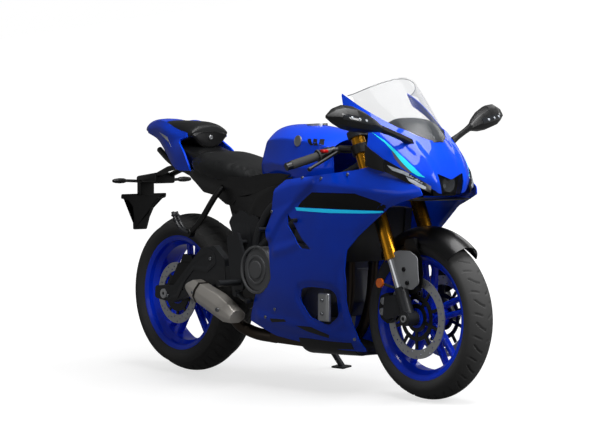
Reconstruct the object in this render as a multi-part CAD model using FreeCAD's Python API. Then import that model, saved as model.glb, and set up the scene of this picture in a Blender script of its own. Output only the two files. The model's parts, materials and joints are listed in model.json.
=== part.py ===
"""A fully faired sport bike with a parallel-twin engine, parked leaning on its side stand.

Every piece is drawn upright first: x runs forward from the rear axle, y to the rider's left and
z up from the floor under the upright tyres. park() then leans the whole bike onto its stand and
moves the origin to the middle of its footprint on the floor. All lengths are millimetres.
"""
import FreeCAD, Part
import math
import os

V = FreeCAD.Vector

# Driving sizes of the whole bike
wheelbase = 1395.0
front_radius = 300.0
rear_radius = 315.0
rake = 23.67
fork_offset = 38.0
lean = 8.0
steering_lock = 27.0

height = 1160.0
half_width = 350.0

# Fits and small allowances shared by many pieces
seat_gap = 0.3
panel_gap = 0.6
overrun = 4.0
shell = 3.0
moving_gap = 5.0

X = V(1, 0, 0)
Y = V(0, 1, 0)
Z = V(0, 0, 1)
ORIGIN = V(0, 0, 0)


# Steering and fork
trail = 90.0
steering_foot = wheelbase + trail
fork_half_width = 102.0
fork_outer_radius = 27.0
stanchion_radius = 20.5
lower_clamp_height = 735.0
lower_clamp_depth = 32.0
upper_clamp_height = 945.0
upper_clamp_depth = 26.0
clamp_wall = 9.0
stem_boss_radius = 30.0
stem_radius = 15.0
stem_drop = 10.0
stem_nut_height = 12.0
stem_nut_radius = 22.0
stem_bore_radius = 6.0
stem_bore_depth = 60.0
fork_cap_rise = 32.0
fork_cap_depth = 18.0
seal_height = 509.0
seal_depth = 34.0
seal_lip = 2.5
foot_height = 408.0
foot_socket = 30.0
foot_radius = 24.0
lug_half_width = 26.0
lug_radius = 27.0
axle_head = 6.0
spacer_radius = 20.0
stanchion_engagement = 90.0
caliper_bracket_thickness = 14.0
caliper_face = 102.0
caliper_width = 44.0
caliper_slot = 13.0
caliper_corner = 9.0
clip_height = 905.0
clip_depth = 34.0
bar_radius = 11.0
bar_end_length = 22.0
bar_end_radius = 15.0
grip_length = 118.0
grip_radius = 16.5
grip_flange = 6.0
grip_flange_radius = 24.0
switch_length = 44.0
switch_radius = 21.0
perch_length = 22.0
perch_radius = 18.0
lever_reach = 48.0
lever_thickness = 6.0
fender_gap = 30.0
fender_crown = 69.0
fender_angles = (52.0, 132.0)
fender_side_depth = 60.0
fender_plate_across = 78.0
fender_plate_thickness = 4.0
fender_plate_corner = 14.0
reflector_radius = 17.0
reflector_depth = 9.0
reflector_arm_radius = 5.0

# Frame, swingarm and running gear
head_tube_radius = 31.0
spar_radius = 17.0
cross_radius = 13.0
plate_thickness = 12.0
plate_corner = 12.0
pivot_plate_across = 124.0
rail_radius = 12.0
arm_thickness = 30.0
arm_across = 136.0
arm_corner = 14.0
pivot_tube_radius = 30.0
pivot_tube_half = 88.0
pivot_bolt_radius = 10.0
ear_thickness = 8.0
spool_radius = 4.0
spool_depth = 20.0
axle_nut_radius = 19.0
rear_caliper_width = 34.0
rear_hanger_thickness = 9.0
shock_rod_radius = 9.0
spring_radius = 26.0
spring_wire = 5.0
spring_turns = 7
shock_eye_half = 16.0
shock_eye_radius = 18.0
shaft_radius = 14.0

# Engine, exhaust and cooling
crankcase_half = pivot_plate_across + plate_thickness / 2
cylinder_half = 95.0
head_half = 95.0
sump_half = 80.0
engine_corner = 18.0
cover_round = 14.0
sprocket_cover_depth = 22.0
header_radius = 20.0
collector_half = 60.0
link_pipe_radius = 24.0
silencer_corner = 14.0
outlet_radius = 22.0
outlet_depth = 60.0
radiator_depth = 32.0
radiator_half = 140.0
radiator_tall = 200.0
radiator_tilt = 6.0
radiator_tab_length = 40.0

# Bodywork
screen_thickness = 3.0
lamp_corner = 10.0
lamp_depth = 70.0
stay_radius = 14.0
stay_tube_radius = 8.0
lens_depth = 22.0
lens_radius = 30.0
opening_corner = 6.0
mirror_arm_radius = 9.0
mirror_corner = 6.0
filler_tilt = -4.0
lid_radius = 40.0
lid_knuckle_radius = 4.0
lid_knuckle_half = 7.0
lid_arm_depth = 3.0
lid_pin_radius = 1.5
lid_pin_half = 26.0
lid_thickness = 10.0
neck_radius = 26.0
neck_depth = 90.0
side_cover_low = 146.0
side_cover_high = 158.0
lower_cover_low = 126.0
lower_cover_high = 140.0
wing_depth = 9.0
vent_corner = 5.0
cover_corner = 12.0
licence_arm_half = 30.0
licence_plate_half = 60.0
indicator_stalk_radius = 7.0
indicator_radius = 15.0

# Rests and stand
rearset_thickness = 10.0
rearset_across = 172.0
post_radius = 9.0
rider_peg_reach = 280.0
peg_radius = 12.0
pedal_offset = 14.0
pedal_radius = 6.0
toe_length = 30.0
pillion_bracket_radius = 11.0
pillion_peg_length = 80.0
stand_radius = 12.0
stand_boss_radius = 18.0
stand_pad_length = 70.0
stand_pad_width = 44.0
stand_pad_height = 7.0
stand_bracket_thickness = 8.0
stand_lug_length = 40.0
stand_axis_tilt = 13.2


# Shape helpers

def cos(angle):
    return math.cos(math.radians(angle))


def sin(angle):
    return math.sin(math.radians(angle))


def fuse(solids):
    """One solid from several that overlap."""
    first = solids[0]
    if len(solids) > 1:
        first = first.fuse(solids[1:]).removeSplitter()
    return first


def both(shape):
    """The shape and its mirror image on the other side of the bike."""
    return [shape, shape.mirror(ORIGIN, Y)]


def cylinder(start, end, radius):
    """A round bar from one point to another."""
    run = end - start
    return Part.makeCylinder(radius, run.Length, start, run)


def ring(start, end, outer, inner):
    """A round tube from one point to another."""
    run = (end - start).normalize()
    bore = cylinder(start - run * overrun, end + run * overrun, inner)
    return cylinder(start, end, outer).cut(bore)


def block(low, high):
    """A box between two opposite corners."""
    size = high - low
    return Part.makeBox(size.x, size.y, size.z, low)


def rounded(points, radius):
    """A closed wire through the points, its corners rounded as far as their sides allow."""
    edges = []
    starts = []
    count = len(points)
    for i, corner in enumerate(points):
        before = points[i - 1] - corner
        after = points[(i + 1) % count] - corner
        half = before.getAngle(after) / 2
        reach = min(radius / math.tan(half), before.Length / 2 * 0.98, after.Length / 2 * 0.98)
        enter = corner + before.normalize() * reach
        leave = corner + after.normalize() * reach
        fit = reach * math.tan(half)
        centre_way = (before + after).normalize()
        middle = corner + centre_way * (fit / math.sin(half) - fit)
        starts.append((enter, middle, leave))
    for i, (enter, middle, leave) in enumerate(starts):
        edges.append(Part.Arc(enter, middle, leave).toShape())
        following = starts[(i + 1) % count][0]
        if (following - leave).Length > seat_gap / 10:
            edges.append(Part.LineSegment(leave, following).toShape())
    return Part.Wire(edges)


def plate(points, radius, depth):
    """A flat plate: its rounded outline swept along depth."""
    wire = rounded(points, radius) if radius else Part.makePolygon(points + points[:1])
    return Part.Face(wire).extrude(depth)


def spread(shares, start, size):
    """Points in the side view from shares of a length and a height."""
    return [V(start.x + size.x * a, start.y, start.z + size.z * b) for a, b in shares]


def side_plate(shares, start, size, radius, thickness):
    """A plate in the side view that reaches thickness towards the rider's left."""
    return plate(spread(shares, start, size), radius, V(0, thickness, 0))


def smooth(points):
    """One open spline edge through the points."""
    curve = Part.BSplineCurve()
    curve.interpolate(points)
    return curve.toShape()


def tube(points, radius, wall=0.0):
    """A bent tube of straight runs and tangent arcs along the points."""
    edges = []
    here = points[0]
    for before, corner, after in zip(points, points[1:], points[2:]):
        back = before - corner
        on = after - corner
        half = back.getAngle(on) / 2
        reach = 0.45 * min(back.Length, on.Length)
        enter = corner + back.normalize() * reach
        leave = corner + on.normalize() * reach
        fit = reach * math.tan(half)
        middle = corner + (back + on).normalize() * (fit / math.sin(half) - fit)
        edges.append(Part.LineSegment(here, enter).toShape())
        edges.append(Part.Arc(enter, middle, leave).toShape())
        here = leave
    edges.append(Part.LineSegment(here, points[-1]).toShape())
    path = Part.Wire(edges)
    outline = Part.Wire(Part.makeCircle(radius, points[0], points[1] - points[0]))
    swept = path.makePipeShell([outline], True, False)
    if wall:
        bore = Part.Wire(Part.makeCircle(radius - wall, points[0], points[1] - points[0]))
        swept = swept.cut(path.makePipeShell([bore], True, False))
    return swept


def loft_hull(stations):
    """A solid through cross-sections: each is (x, half outline from the top down), mirrored."""
    wires = []
    for x, half in stations:
        left = [V(x, y, z) for y, z in half]
        right = [V(x, -y, z) for y, z in half]
        path = list(reversed(right)) + left[1:]
        wires.append(Part.Wire([smooth(path), Part.LineSegment(path[-1], path[0]).toShape()]))
    return Part.makeLoft(wires, True, False)


def skin_between(outer_rows, inner_rows):
    """A solid between two smooth surfaces that run through two grids of points."""
    faces = []
    edges = []
    for rows in (outer_rows, inner_rows):
        surface = Part.BSplineSurface()
        surface.interpolate(rows)
        faces.append(surface.toShape())
    for index in range(len(faces[0].Edges)):
        pair = [face.Edges[index] for face in faces]
        edges.append(Part.makeRuledSurface(*pair))
    sewn = Part.makeShell(faces + edges)
    sewn.sewShape()
    solid = Part.makeSolid(sewn)
    if solid.Volume < 0:
        solid.reverse()
    return solid


def shifted(rows, depth):
    """The grid moved by depth along the surface's own normal at each point."""
    surface = Part.BSplineSurface()
    surface.interpolate(rows)
    moved = []
    for row in rows:
        line = []
        for point in row:
            u, v = surface.parameter(point)
            line.append(point + surface.normal(u, v) * depth)
        moved.append(line)
    return moved


def wrapped(rows, depth):
    """The grid moved by depth along each column's mean normal, so that thin ends do not twist."""
    surface = Part.BSplineSurface()
    surface.interpolate(rows)
    moved = [list(row) for row in rows]
    for column in range(len(rows[0])):
        total = V(0, 0, 0)
        for row in rows:
            u, v = surface.parameter(row[column])
            total = total + surface.normal(u, v)
        total.normalize()
        for index, row in enumerate(rows):
            moved[index][column] = row[column] + total * depth
    return moved


def largest(shape):
    """The biggest solid of a shape that a cut has left in pieces."""
    return max(shape.Solids, key=lambda solid: solid.Volume)


# Wheels, tyres, brakes and axles

front_axle = V(wheelbase, 0, front_radius)
front_crown = 62.0
rear_crown = 94.0
rear_axle = V(0, 0, rear_radius + (rear_crown - front_crown) * (1 - cos(lean)) / cos(lean))

front_tyre_width = 120.0
rear_tyre_width = 180.0
bead_radius = 216.0
flange_radius = 229.0
front_rim_width = 100.0
rear_rim_width = 152.0
flange_thickness = 7.0
rim_wall = 6.0
well_depth = 18.0
well_share = 0.45
spoke_pairs = 5
spoke_root_radius = 36.0
spoke_root_width = 26.0
spoke_tip_width = 17.0
spoke_root_depth = 34.0
spoke_tip_depth = 26.0
spoke_spread = 27.0
spoke_root_spread = 13.0
front_hub_radius = 36.0
rear_hub_radius = 44.0
front_hub_length = 128.0
rear_hub_length = 150.0
axle_radius = 12.5
front_axle_bore_radius = 8.0
rear_axle_bore_radius = 7.0

front_disc_radius = 149.0
front_disc_band = 33.0
front_disc_offset = 66.0
disc_thickness = 4.5
rear_disc_radius = 122.5
rear_disc_band = 34.0
rear_disc_offset = 84.0
disc_holes = 36
disc_hole_radius = 3.2
carrier_arms = 10
carrier_thickness = 5.0
carrier_arm_width = 15.0
button_radius = 7.0

sprocket_teeth = 42
chain_pitch = 15.875
chain_line = 106.0
sprocket_thickness = 7.0
roller_radius = 5.1
link_height = 15.0
link_gap = 8.0
link_thickness = 2.0
front_sprocket_teeth = 16


def wheel_profile(points, centre):
    """A ring turned about the wheel's axle from (across, radius) points."""
    outline = [V(0, across, radius) for across, radius in points]
    face = Part.Face(Part.makePolygon(outline + outline[:1]))
    turned = face.revolve(ORIGIN, Y, 360)
    turned.translate(centre)
    return turned


def tyre(centre, radius, width, crown, rim_width):
    """The carcass: a crown arc, two shoulder arcs and two sidewalls down to the rim."""
    half = width / 2
    crown_angle = 46 if width < rear_tyre_width else 38
    edge = (crown * sin(crown_angle), radius - crown + crown * cos(crown_angle))
    widest = radius - (radius - bead_radius) * 0.55
    bead = rim_width / 2 - flange_thickness - seat_gap
    low = bead_radius + seat_gap
    lip = flange_radius + seat_gap

    def at(across, up):
        return V(0, across, up)

    shoulder_mid = (half * 0.93, (edge[1] + widest) / 2 + (edge[1] - widest) * 0.16)
    edges = [
        Part.Arc(at(-edge[0], edge[1]), at(0, radius), at(edge[0], edge[1])).toShape(),
        Part.Arc(at(edge[0], edge[1]), at(*shoulder_mid), at(half, widest)).toShape(),
        Part.Arc(at(half, widest), at(half * 0.985, (widest + lip) / 2), at(rim_width / 2, lip)).toShape(),
        Part.LineSegment(at(rim_width / 2, lip), at(bead, lip)).toShape(),
        Part.LineSegment(at(bead, lip), at(bead, low)).toShape(),
        Part.LineSegment(at(bead, low), at(-bead, low)).toShape(),
        Part.LineSegment(at(-bead, low), at(-bead, lip)).toShape(),
        Part.LineSegment(at(-bead, lip), at(-rim_width / 2, lip)).toShape(),
        Part.Arc(at(-rim_width / 2, lip), at(-half * 0.985, (widest + lip) / 2), at(-half, widest)).toShape(),
        Part.Arc(at(-half, widest), at(-shoulder_mid[0], shoulder_mid[1]), at(-edge[0], edge[1])).toShape(),
    ]
    turned = Part.Face(Part.Wire(edges)).revolve(ORIGIN, Y, 360)
    turned.translate(centre)
    return turned


def oval(centre, along, width, depth):
    """A rounded spoke section: width along a direction and depth across the wheel."""
    corners = []
    for a, b in ((1, 1), (-1, 1), (-1, -1), (1, -1)):
        corners.append(centre + along * (a * width / 2) + Y * (b * depth / 2))
    return rounded(corners, min(width, depth) * 0.42)


def rim(centre, width, hub_radius, hub_length, bore):
    """The cast wheel: a barrel, five pairs of spokes and a hub bored for the axle."""
    half = width / 2
    well = half * well_share
    outer = [(half, flange_radius), (half - flange_thickness, flange_radius),
             (half - flange_thickness, bead_radius), (well + well_depth, bead_radius - rim_wall / 2),
             (well, bead_radius - well_depth)]
    inner = [(well, bead_radius - well_depth - rim_wall),
             (well + well_depth, bead_radius - rim_wall * 1.5),
             (half - flange_thickness, bead_radius - rim_wall), (half, flange_radius - rim_wall)]
    barrel_points = (outer + [(-a, r) for a, r in reversed(outer)]
                     + [(-a, r) for a, r in reversed(inner)] + inner)
    barrel = wheel_profile(barrel_points, ORIGIN)
    hub = cylinder(Y * (-hub_length / 2), Y * (hub_length / 2), hub_radius)
    spokes = []
    tip_radius = bead_radius - well_depth - rim_wall / 2
    for pair in range(spoke_pairs):
        middle = 90 + pair * 360 / spoke_pairs
        out = V(cos(middle), 0, sin(middle))
        across = V(-sin(middle), 0, cos(middle))
        for side in (-1, 1):
            root = out * (spoke_root_radius * 0.7) + across * (side * spoke_root_spread)
            tip = out * tip_radius + across * (side * spoke_spread)
            sections = [oval(root, across, spoke_root_width, spoke_root_depth),
                        oval(tip, across, spoke_tip_width, spoke_tip_depth)]
            spokes.append(Part.makeLoft(sections, True, True))
    cast = fuse([barrel, hub] + spokes)
    cast = cast.cut(cylinder(Y * -hub_length, Y * hub_length, bore))
    cast.translate(centre)
    return cast


def brake_disc(centre, radius, band, offset):
    """A drilled brake rotor, its holes in three staggered rings."""
    side = 1 if offset > 0 else -1
    low = centre + Y * (offset - side * disc_thickness / 2)
    high = centre + Y * (offset + side * disc_thickness / 2)
    rotor = ring(low, high, radius, radius - band)
    holes = []
    for index in range(disc_holes):
        turn = index * 360 / disc_holes
        reach = radius - band * (0.24 + 0.26 * (index % 3))
        spot = V(cos(turn) * reach, 0, sin(turn) * reach)
        holes.append(cylinder(low + spot - Y * side * overrun, high + spot + Y * side * overrun,
                              disc_hole_radius))
    return rotor.cut(Part.makeCompound(holes))


def disc_carrier(centre, inner, outer, offset, side):
    """The black spider that holds a rotor on the hub, with a button at the end of each arm."""
    low = centre + Y * (offset - side * carrier_thickness / 2)
    high = centre + Y * (offset + side * carrier_thickness / 2)
    middle = (inner + outer) / 2
    hoop = ring(low, high, middle + carrier_arm_width / 2, middle - carrier_arm_width / 2)
    hub_plate = ring(low, high, inner + carrier_arm_width, inner)
    arms = []
    for index in range(carrier_arms):
        turn = index * 360 / carrier_arms + 18
        out = V(cos(turn), 0, sin(turn))
        across = V(-sin(turn), 0, cos(turn)) * (carrier_arm_width * 0.4)
        first = low + out * (inner + carrier_arm_width / 2 if index % 2 else middle)
        last = low + out * (outer - seat_gap - carrier_arm_width * 0.2)
        corners = [first - across, first + across, last + across, last - across]
        arms.append(plate(corners, 0, high - low))
    trimmed = fuse([hoop, hub_plate] + arms)
    return trimmed.common(cylinder(low - Y * side * overrun, high + Y * side * overrun, outer - seat_gap))


def make_front_wheel():
    """Rim, tyre, rotors and their carriers, which turn together on the front axle."""
    hub_end = front_hub_length / 2
    carriers = []
    rotors = []
    for side in (-1, 1):
        offset = side * front_disc_offset
        rotors.append(brake_disc(front_axle, front_disc_radius, front_disc_band, offset))
        carriers.append(disc_carrier(front_axle, front_hub_radius + seat_gap,
                                     front_disc_radius - front_disc_band, offset, side))
    hub_stub = front_disc_offset + carrier_thickness / 2
    body = rim(front_axle, front_rim_width, front_hub_radius, hub_stub * 2, axle_radius + seat_gap)
    return {
        "front_rim": [body],
        "front_tyre": [tyre(front_axle, front_radius, front_tyre_width, front_crown, front_rim_width)],
        "front_brake_discs": rotors,
        "front_disc_carriers": carriers,
    }


def make_rear_wheel():
    """Rim, tyre, rotor, sprocket and sprocket carrier on the rear axle."""
    hub_end = rear_disc_offset + carrier_thickness / 2
    body = rim(rear_axle, rear_rim_width, rear_hub_radius, hub_end * 2, axle_radius + seat_gap)
    rotor = brake_disc(rear_axle, rear_disc_radius, rear_disc_band, -rear_disc_offset)
    spider = disc_carrier(rear_axle, rear_hub_radius + seat_gap,
                          rear_disc_radius - rear_disc_band, -rear_disc_offset, -1)
    return {
        "rear_rim": [body],
        "rear_tyre": [tyre(rear_axle, rear_radius, rear_tyre_width, rear_crown, rear_rim_width)],
        "rear_brake_disc": [rotor],
        "rear_disc_carrier": [spider],
        "rear_sprocket": [rear_sprocket()],
    }


def pitch_radius(teeth):
    return chain_pitch / (2 * math.sin(math.pi / teeth))


def rear_sprocket():
    """A toothed ring on a five-armed carrier; the teeth end just under the chain's rollers."""
    root = pitch_radius(sprocket_teeth) - roller_radius - link_height / 2
    tip = pitch_radius(sprocket_teeth) - roller_radius - panel_gap
    points = []
    for tooth in range(sprocket_teeth):
        start = tooth * 360 / sprocket_teeth
        step = 360 / sprocket_teeth
        for share, radius in ((0.0, root), (0.22, root), (0.42, tip), (0.58, tip), (0.78, root)):
            turn = start + step * share
            points.append(V(cos(turn) * radius, 0, sin(turn) * radius))
    blank = plate(points, 0, V(0, sprocket_thickness, 0))
    window_outer = root - link_height
    window_inner = rear_hub_radius + link_height
    blank = blank.cut(cylinder(Y * -overrun, Y * (sprocket_thickness + overrun), window_outer))
    arms = [ring(ORIGIN, Y * sprocket_thickness, window_inner, rear_hub_radius - overrun)]
    for index in range(spoke_pairs):
        turn = index * 360 / spoke_pairs
        out = V(cos(turn), 0, sin(turn))
        across = V(-sin(turn), 0, cos(turn)) * link_height
        first = out * (rear_hub_radius + overrun)
        last = out * (window_outer + overrun)
        arms.append(plate([first - across, first + across, last + across / 2, last - across / 2],
                          0, V(0, sprocket_thickness, 0)))
    wheel = fuse([blank] + arms)
    wheel.translate(rear_axle + Y * (chain_line - sprocket_thickness / 2))
    stub = ring(rear_axle + Y * (rear_disc_offset + carrier_thickness / 2 + seat_gap),
                rear_axle + Y * (chain_line + sprocket_thickness / 2), rear_hub_radius,
                axle_radius + seat_gap)
    return fuse([wheel, stub])


# Places on the bike are shares of its wheelbase, its half width over the bars and its height

def spot(along, across, up):
    """A place from its shares of the wheelbase, the half width and the height."""
    return V(wheelbase * along, half_width * across, height * up)


def spots(shares):
    return [spot(*share) for share in shares]


def side_points(shares, across):
    """Points of a side view, all at one distance from the middle plane."""
    return [V(wheelbase * a, across, height * b) for a, b in shares]


def panel(shares, low, high, radius=0.0):
    """A flat piece drawn in the side view that reaches from low to high across the bike."""
    points = side_points(shares, low)
    return plate(points, radius, V(0, high - low, 0))


def hull(shares):
    """A body lofted through stations: a share along, then half outline shares of (across, up)."""
    stations = []
    for along, half in shares:
        stations.append((wheelbase * along, [(half_width * a, height * b) for a, b in half]))
    return loft_hull(stations)


def patch_rows(shares):
    """Rows of places mirrored about the middle plane, for a skin that wraps the nose."""
    rows = []
    for row in shares:
        right = [spot(a, -b, c) for a, b, c in reversed(row)]
        left = [spot(*place) for place in row[1:]]
        rows.append(right + left)
    return rows


def patch(shares, thickness):
    """A smooth skin of one thickness through mirrored rows."""
    rows = patch_rows(shares)
    return skin_between(rows, wrapped(rows, thickness))


def side_patch(shares, thickness):
    """The same for a panel on the left of the bike only."""
    rows = [spots(row) for row in shares]
    return skin_between(rows, wrapped(rows, thickness))


# Frame, swingarm and running gear: shares of the wheelbase, the half width and the height
upper_spar_shares = (
    (0.796, 0.051, 0.759), (0.717, 0.243, 0.69), (0.616, 0.357, 0.636), (0.466, 0.366, 0.599),
    (0.403, 0.383, 0.491), (0.392, 0.383, 0.379),
)
lower_spar_shares = (
    (0.832, 0.046, 0.681), (0.746, 0.251, 0.605), (0.645, 0.366, 0.552), (0.502, 0.371, 0.517),
    (0.412, 0.36, 0.448),
)
pivot_plate_shares = (
    (0.287, 0.543), (0.326, 0.569), (0.401, 0.552), (0.43, 0.483), (0.424, 0.379), (0.401, 0.259),
    (0.358, 0.241), (0.337, 0.297), (0.347, 0.414), (0.301, 0.483),
)
cross_tube_shares = (
    (0.466, 0.366, 0.599), (0.362, 0.354, 0.552), (0.384, 0.354, 0.293),
)
seat_rail_shares = (
    (0.459, 0.36, 0.603), (0.358, 0.297, 0.648), (0.129, 0.28, 0.666), (-0.043, 0.206, 0.721),
    (-0.115, 0.143, 0.762),
)
seat_strut_shares = (
    (0.323, 0.354, 0.534), (0.237, 0.309, 0.595), (0.093, 0.28, 0.657),
)
seat_cross_shares = (
    (0.215, 0.286, 0.659), (0.029, 0.246, 0.697),
)
swingarm_shares = (
    (-0.044, 0.255), (-0.042, 0.297), (0.043, 0.303), (0.108, 0.371), (0.168, 0.435),
    (0.228, 0.448), (0.276, 0.405), (0.28, 0.326), (0.237, 0.321), (0.122, 0.276), (0.036, 0.243),
)
pivot_share = (0.38, 0.0, 0.358)
arm_link_shares = (
    (0.399, 0.171), (0.399, 0.251), (0.337, 0.251), (0.276, 0.429), (0.24, 0.429), (0.24, 0.349),
    (0.315, 0.171),
)
link_low_share = 0.328
link_high_share = 0.381
shock_ear_shares = (
    (0.31, 0.331), (0.358, 0.331), (0.346, 0.262), (0.318, 0.262),
)
spool_share = (0.086, 0.0, 0.291)
spring_low_share = 0.42
spring_high_share = 0.86
arm_brace_shares = (
    (0.249, 0.331), (0.252, 0.376), (0.31, 0.376), (0.313, 0.331),
)
rear_caliper_shares = (
    (0.022, 0.362), (0.043, 0.409), (0.079, 0.405), (0.097, 0.366), (0.079, 0.332), (0.043, 0.332),
)
rear_hanger_shares = (
    (-0.019, 0.259), (-0.017, 0.297), (0.029, 0.379), (0.085, 0.379), (0.086, 0.345),
    (0.02, 0.255),
)
shock_low_share = (0.33, 0.0, 0.278)
shock_top_share = (0.362, 0.0, 0.552)

# Engine, exhaust, cooling and chain
crankcase_shares = (
    (0.434, 0.431), (0.502, 0.483), (0.616, 0.466), (0.681, 0.388), (0.688, 0.284), (0.645, 0.233),
    (0.459, 0.22), (0.434, 0.267),
)
cylinder_block_shares = (
    (0.516, 0.448), (0.556, 0.595), (0.705, 0.543), (0.674, 0.371),
)
head_shares = (
    (0.552, 0.583), (0.573, 0.655), (0.717, 0.603), (0.703, 0.531),
)
sump_shares = (
    (0.459, 0.25), (0.645, 0.259), (0.631, 0.167), (0.487, 0.167),
)
engine_cover_shares = (
    ((0.466, 0.382), 0.076, 0.2, -1),
    ((0.573, 0.338), 0.05, 0.131, -1),
    ((0.582, 0.345), 0.076, 0.131, 1),
)
sprocket_cover_shares = (
    (0.391, 0.329), (0.399, 0.414), (0.444, 0.431), (0.508, 0.421), (0.508, 0.338), (0.43, 0.312),
)
sprocket_recess_low_share = (0.387, 0.0, 0.319)
sprocket_recess_high_share = (0.479, 0.0, 0.436)
header_shares = (
    (0.699, 0.171, 0.565), (0.73, 0.171, 0.556), (0.733, 0.171, 0.466), (0.725, 0.157, 0.293),
    (0.692, 0.137, 0.185), (0.638, 0.109, 0.145), (0.552, 0.086, 0.145),
)
collector_shares = (
    (0.387, 0.133), (0.573, 0.129), (0.595, 0.143), (0.573, 0.164), (0.401, 0.164), (0.38, 0.148),
)
link_pipe_shares = (
    (0.401, -0.086, 0.148), (0.344, -0.2, 0.157), (0.315, -0.343, 0.185), (0.324, -0.457, 0.22),
    (0.358, -0.52, 0.234),
)
silencer_shares = (
    ((0.195, -0.543, 0.307), 0.103, 0.028),
    ((0.215, -0.543, 0.298), 0.109, 0.033),
    ((0.287, -0.543, 0.269), 0.117, 0.041),
    ((0.358, -0.543, 0.239), 0.114, 0.043),
    ((0.393, -0.543, 0.222), 0.074, 0.029),
)
front_sprocket_share = (0.43, 0.0, 0.372)
radiator_share = (0.77, 0.0, 0.509)
radiator_tab_share = (0.771, 0.189, 0.59)

# Bodywork: rows and outlines
fairing_along_shares = (0.387, 0.459, 0.53, 0.609, 0.688, 0.76, 0.824, 0.889, 0.953, 1.025, 1.104)
fairing_up_shares = (0.103, 0.172, 0.228, 0.302, 0.362, 0.431, 0.5, 0.56, 0.621, 0.681, 0.741, 0.802)
fairing_across_shares = (
    (0.429, 0.48, 0.509, 0.537, 0.551, 0.551, 0.537, 0.514, 0.486, 0.446, 0.4, 0.354),
    (0.417, 0.486, 0.526, 0.563, 0.58, 0.583, 0.571, 0.549, 0.52, 0.48, 0.429, 0.377),
    (0.394, 0.474, 0.531, 0.583, 0.603, 0.609, 0.603, 0.586, 0.56, 0.52, 0.469, 0.417),
    (0.354, 0.451, 0.526, 0.589, 0.614, 0.626, 0.626, 0.617, 0.597, 0.56, 0.514, 0.463),
    (0.297, 0.406, 0.491, 0.566, 0.606, 0.629, 0.637, 0.634, 0.62, 0.591, 0.549, 0.497),
    (0.229, 0.331, 0.417, 0.514, 0.58, 0.617, 0.634, 0.64, 0.631, 0.606, 0.571, 0.52),
    (0.149, 0.24, 0.326, 0.429, 0.514, 0.577, 0.606, 0.623, 0.623, 0.606, 0.577, 0.531),
    (0.086, 0.154, 0.24, 0.349, 0.443, 0.514, 0.56, 0.583, 0.594, 0.589, 0.566, 0.526),
    (0.057, 0.114, 0.189, 0.291, 0.383, 0.457, 0.503, 0.526, 0.543, 0.546, 0.531, 0.497),
    (0.04, 0.086, 0.143, 0.24, 0.326, 0.389, 0.429, 0.451, 0.466, 0.466, 0.457, 0.429),
    (0.023, 0.057, 0.103, 0.171, 0.24, 0.286, 0.314, 0.32, 0.32, 0.303, 0.28, 0.263),
)
fairing_outline_shares = (
    (0.414, 0.212), (0.515, 0.169), (0.619, 0.153), (0.74, 0.138), (0.807, 0.135), (0.797, 0.181),
    (0.793, 0.228), (0.792, 0.267), (0.796, 0.305), (0.812, 0.36), (0.816, 0.4), (0.835, 0.466),
    (0.871, 0.509), (0.909, 0.543), (0.977, 0.605), (1.033, 0.629), (1.075, 0.645), (1.068, 0.669),
    (1.025, 0.691), (0.964, 0.721), (0.923, 0.731), (0.867, 0.719), (0.753, 0.703), (0.591, 0.681),
    (0.546, 0.65), (0.531, 0.559), (0.51, 0.514), (0.524, 0.454), (0.53, 0.358), (0.509, 0.326),
    (0.454, 0.304), (0.422, 0.235),
)
slash_duct_shares = (
    (0.685, 0.65), (0.619, 0.549), (0.656, 0.471), (0.702, 0.462), (0.638, 0.552),
)
engine_window_shares = (
    (0.639, 0.296), (0.649, 0.334), (0.693, 0.342), (0.76, 0.338), (0.774, 0.321), (0.761, 0.25),
    (0.721, 0.217), (0.667, 0.241),
)
nose_shares = (
    (
        (1.086, 0.0, 0.628), (1.085, 0.129, 0.63), (1.08, 0.251, 0.641), (1.066, 0.363, 0.661),
        (1.039, 0.451, 0.681), (0.998, 0.514, 0.697), (0.948, 0.554, 0.709), (0.893, 0.577, 0.721),
        (0.836, 0.589, 0.733),
    ),
    (
        (1.08, 0.0, 0.686), (1.078, 0.126, 0.69), (1.07, 0.246, 0.701), (1.049, 0.349, 0.721),
        (1.018, 0.431, 0.741), (0.973, 0.494, 0.762), (0.922, 0.537, 0.781), (0.865, 0.56, 0.798),
        (0.804, 0.566, 0.812),
    ),
    (
        (1.062, 0.0, 0.748), (1.058, 0.12, 0.752), (1.044, 0.229, 0.764), (1.019, 0.32, 0.783),
        (0.983, 0.394, 0.805), (0.937, 0.451, 0.829), (0.885, 0.494, 0.853), (0.832, 0.514, 0.874),
        (0.778, 0.517, 0.893),
    ),
    (
        (1.033, 0.0, 0.809), (1.027, 0.091, 0.813), (1.009, 0.177, 0.824), (0.982, 0.251, 0.84),
        (0.948, 0.32, 0.859), (0.907, 0.383, 0.884), (0.863, 0.434, 0.91), (0.822, 0.463, 0.936),
        (0.78, 0.466, 0.96),
    ),
)
nose_outline_shares = (
    (1.125, 0.64), (1.082, 0.64), (1.078, 0.659), (1.061, 0.681), (1.028, 0.708), (0.968, 0.747),
    (0.905, 0.794), (0.897, 0.849), (0.846, 0.888), (0.796, 0.917), (0.783, 0.952), (0.783, 1.0),
    (1.125, 1.0),
)
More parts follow.
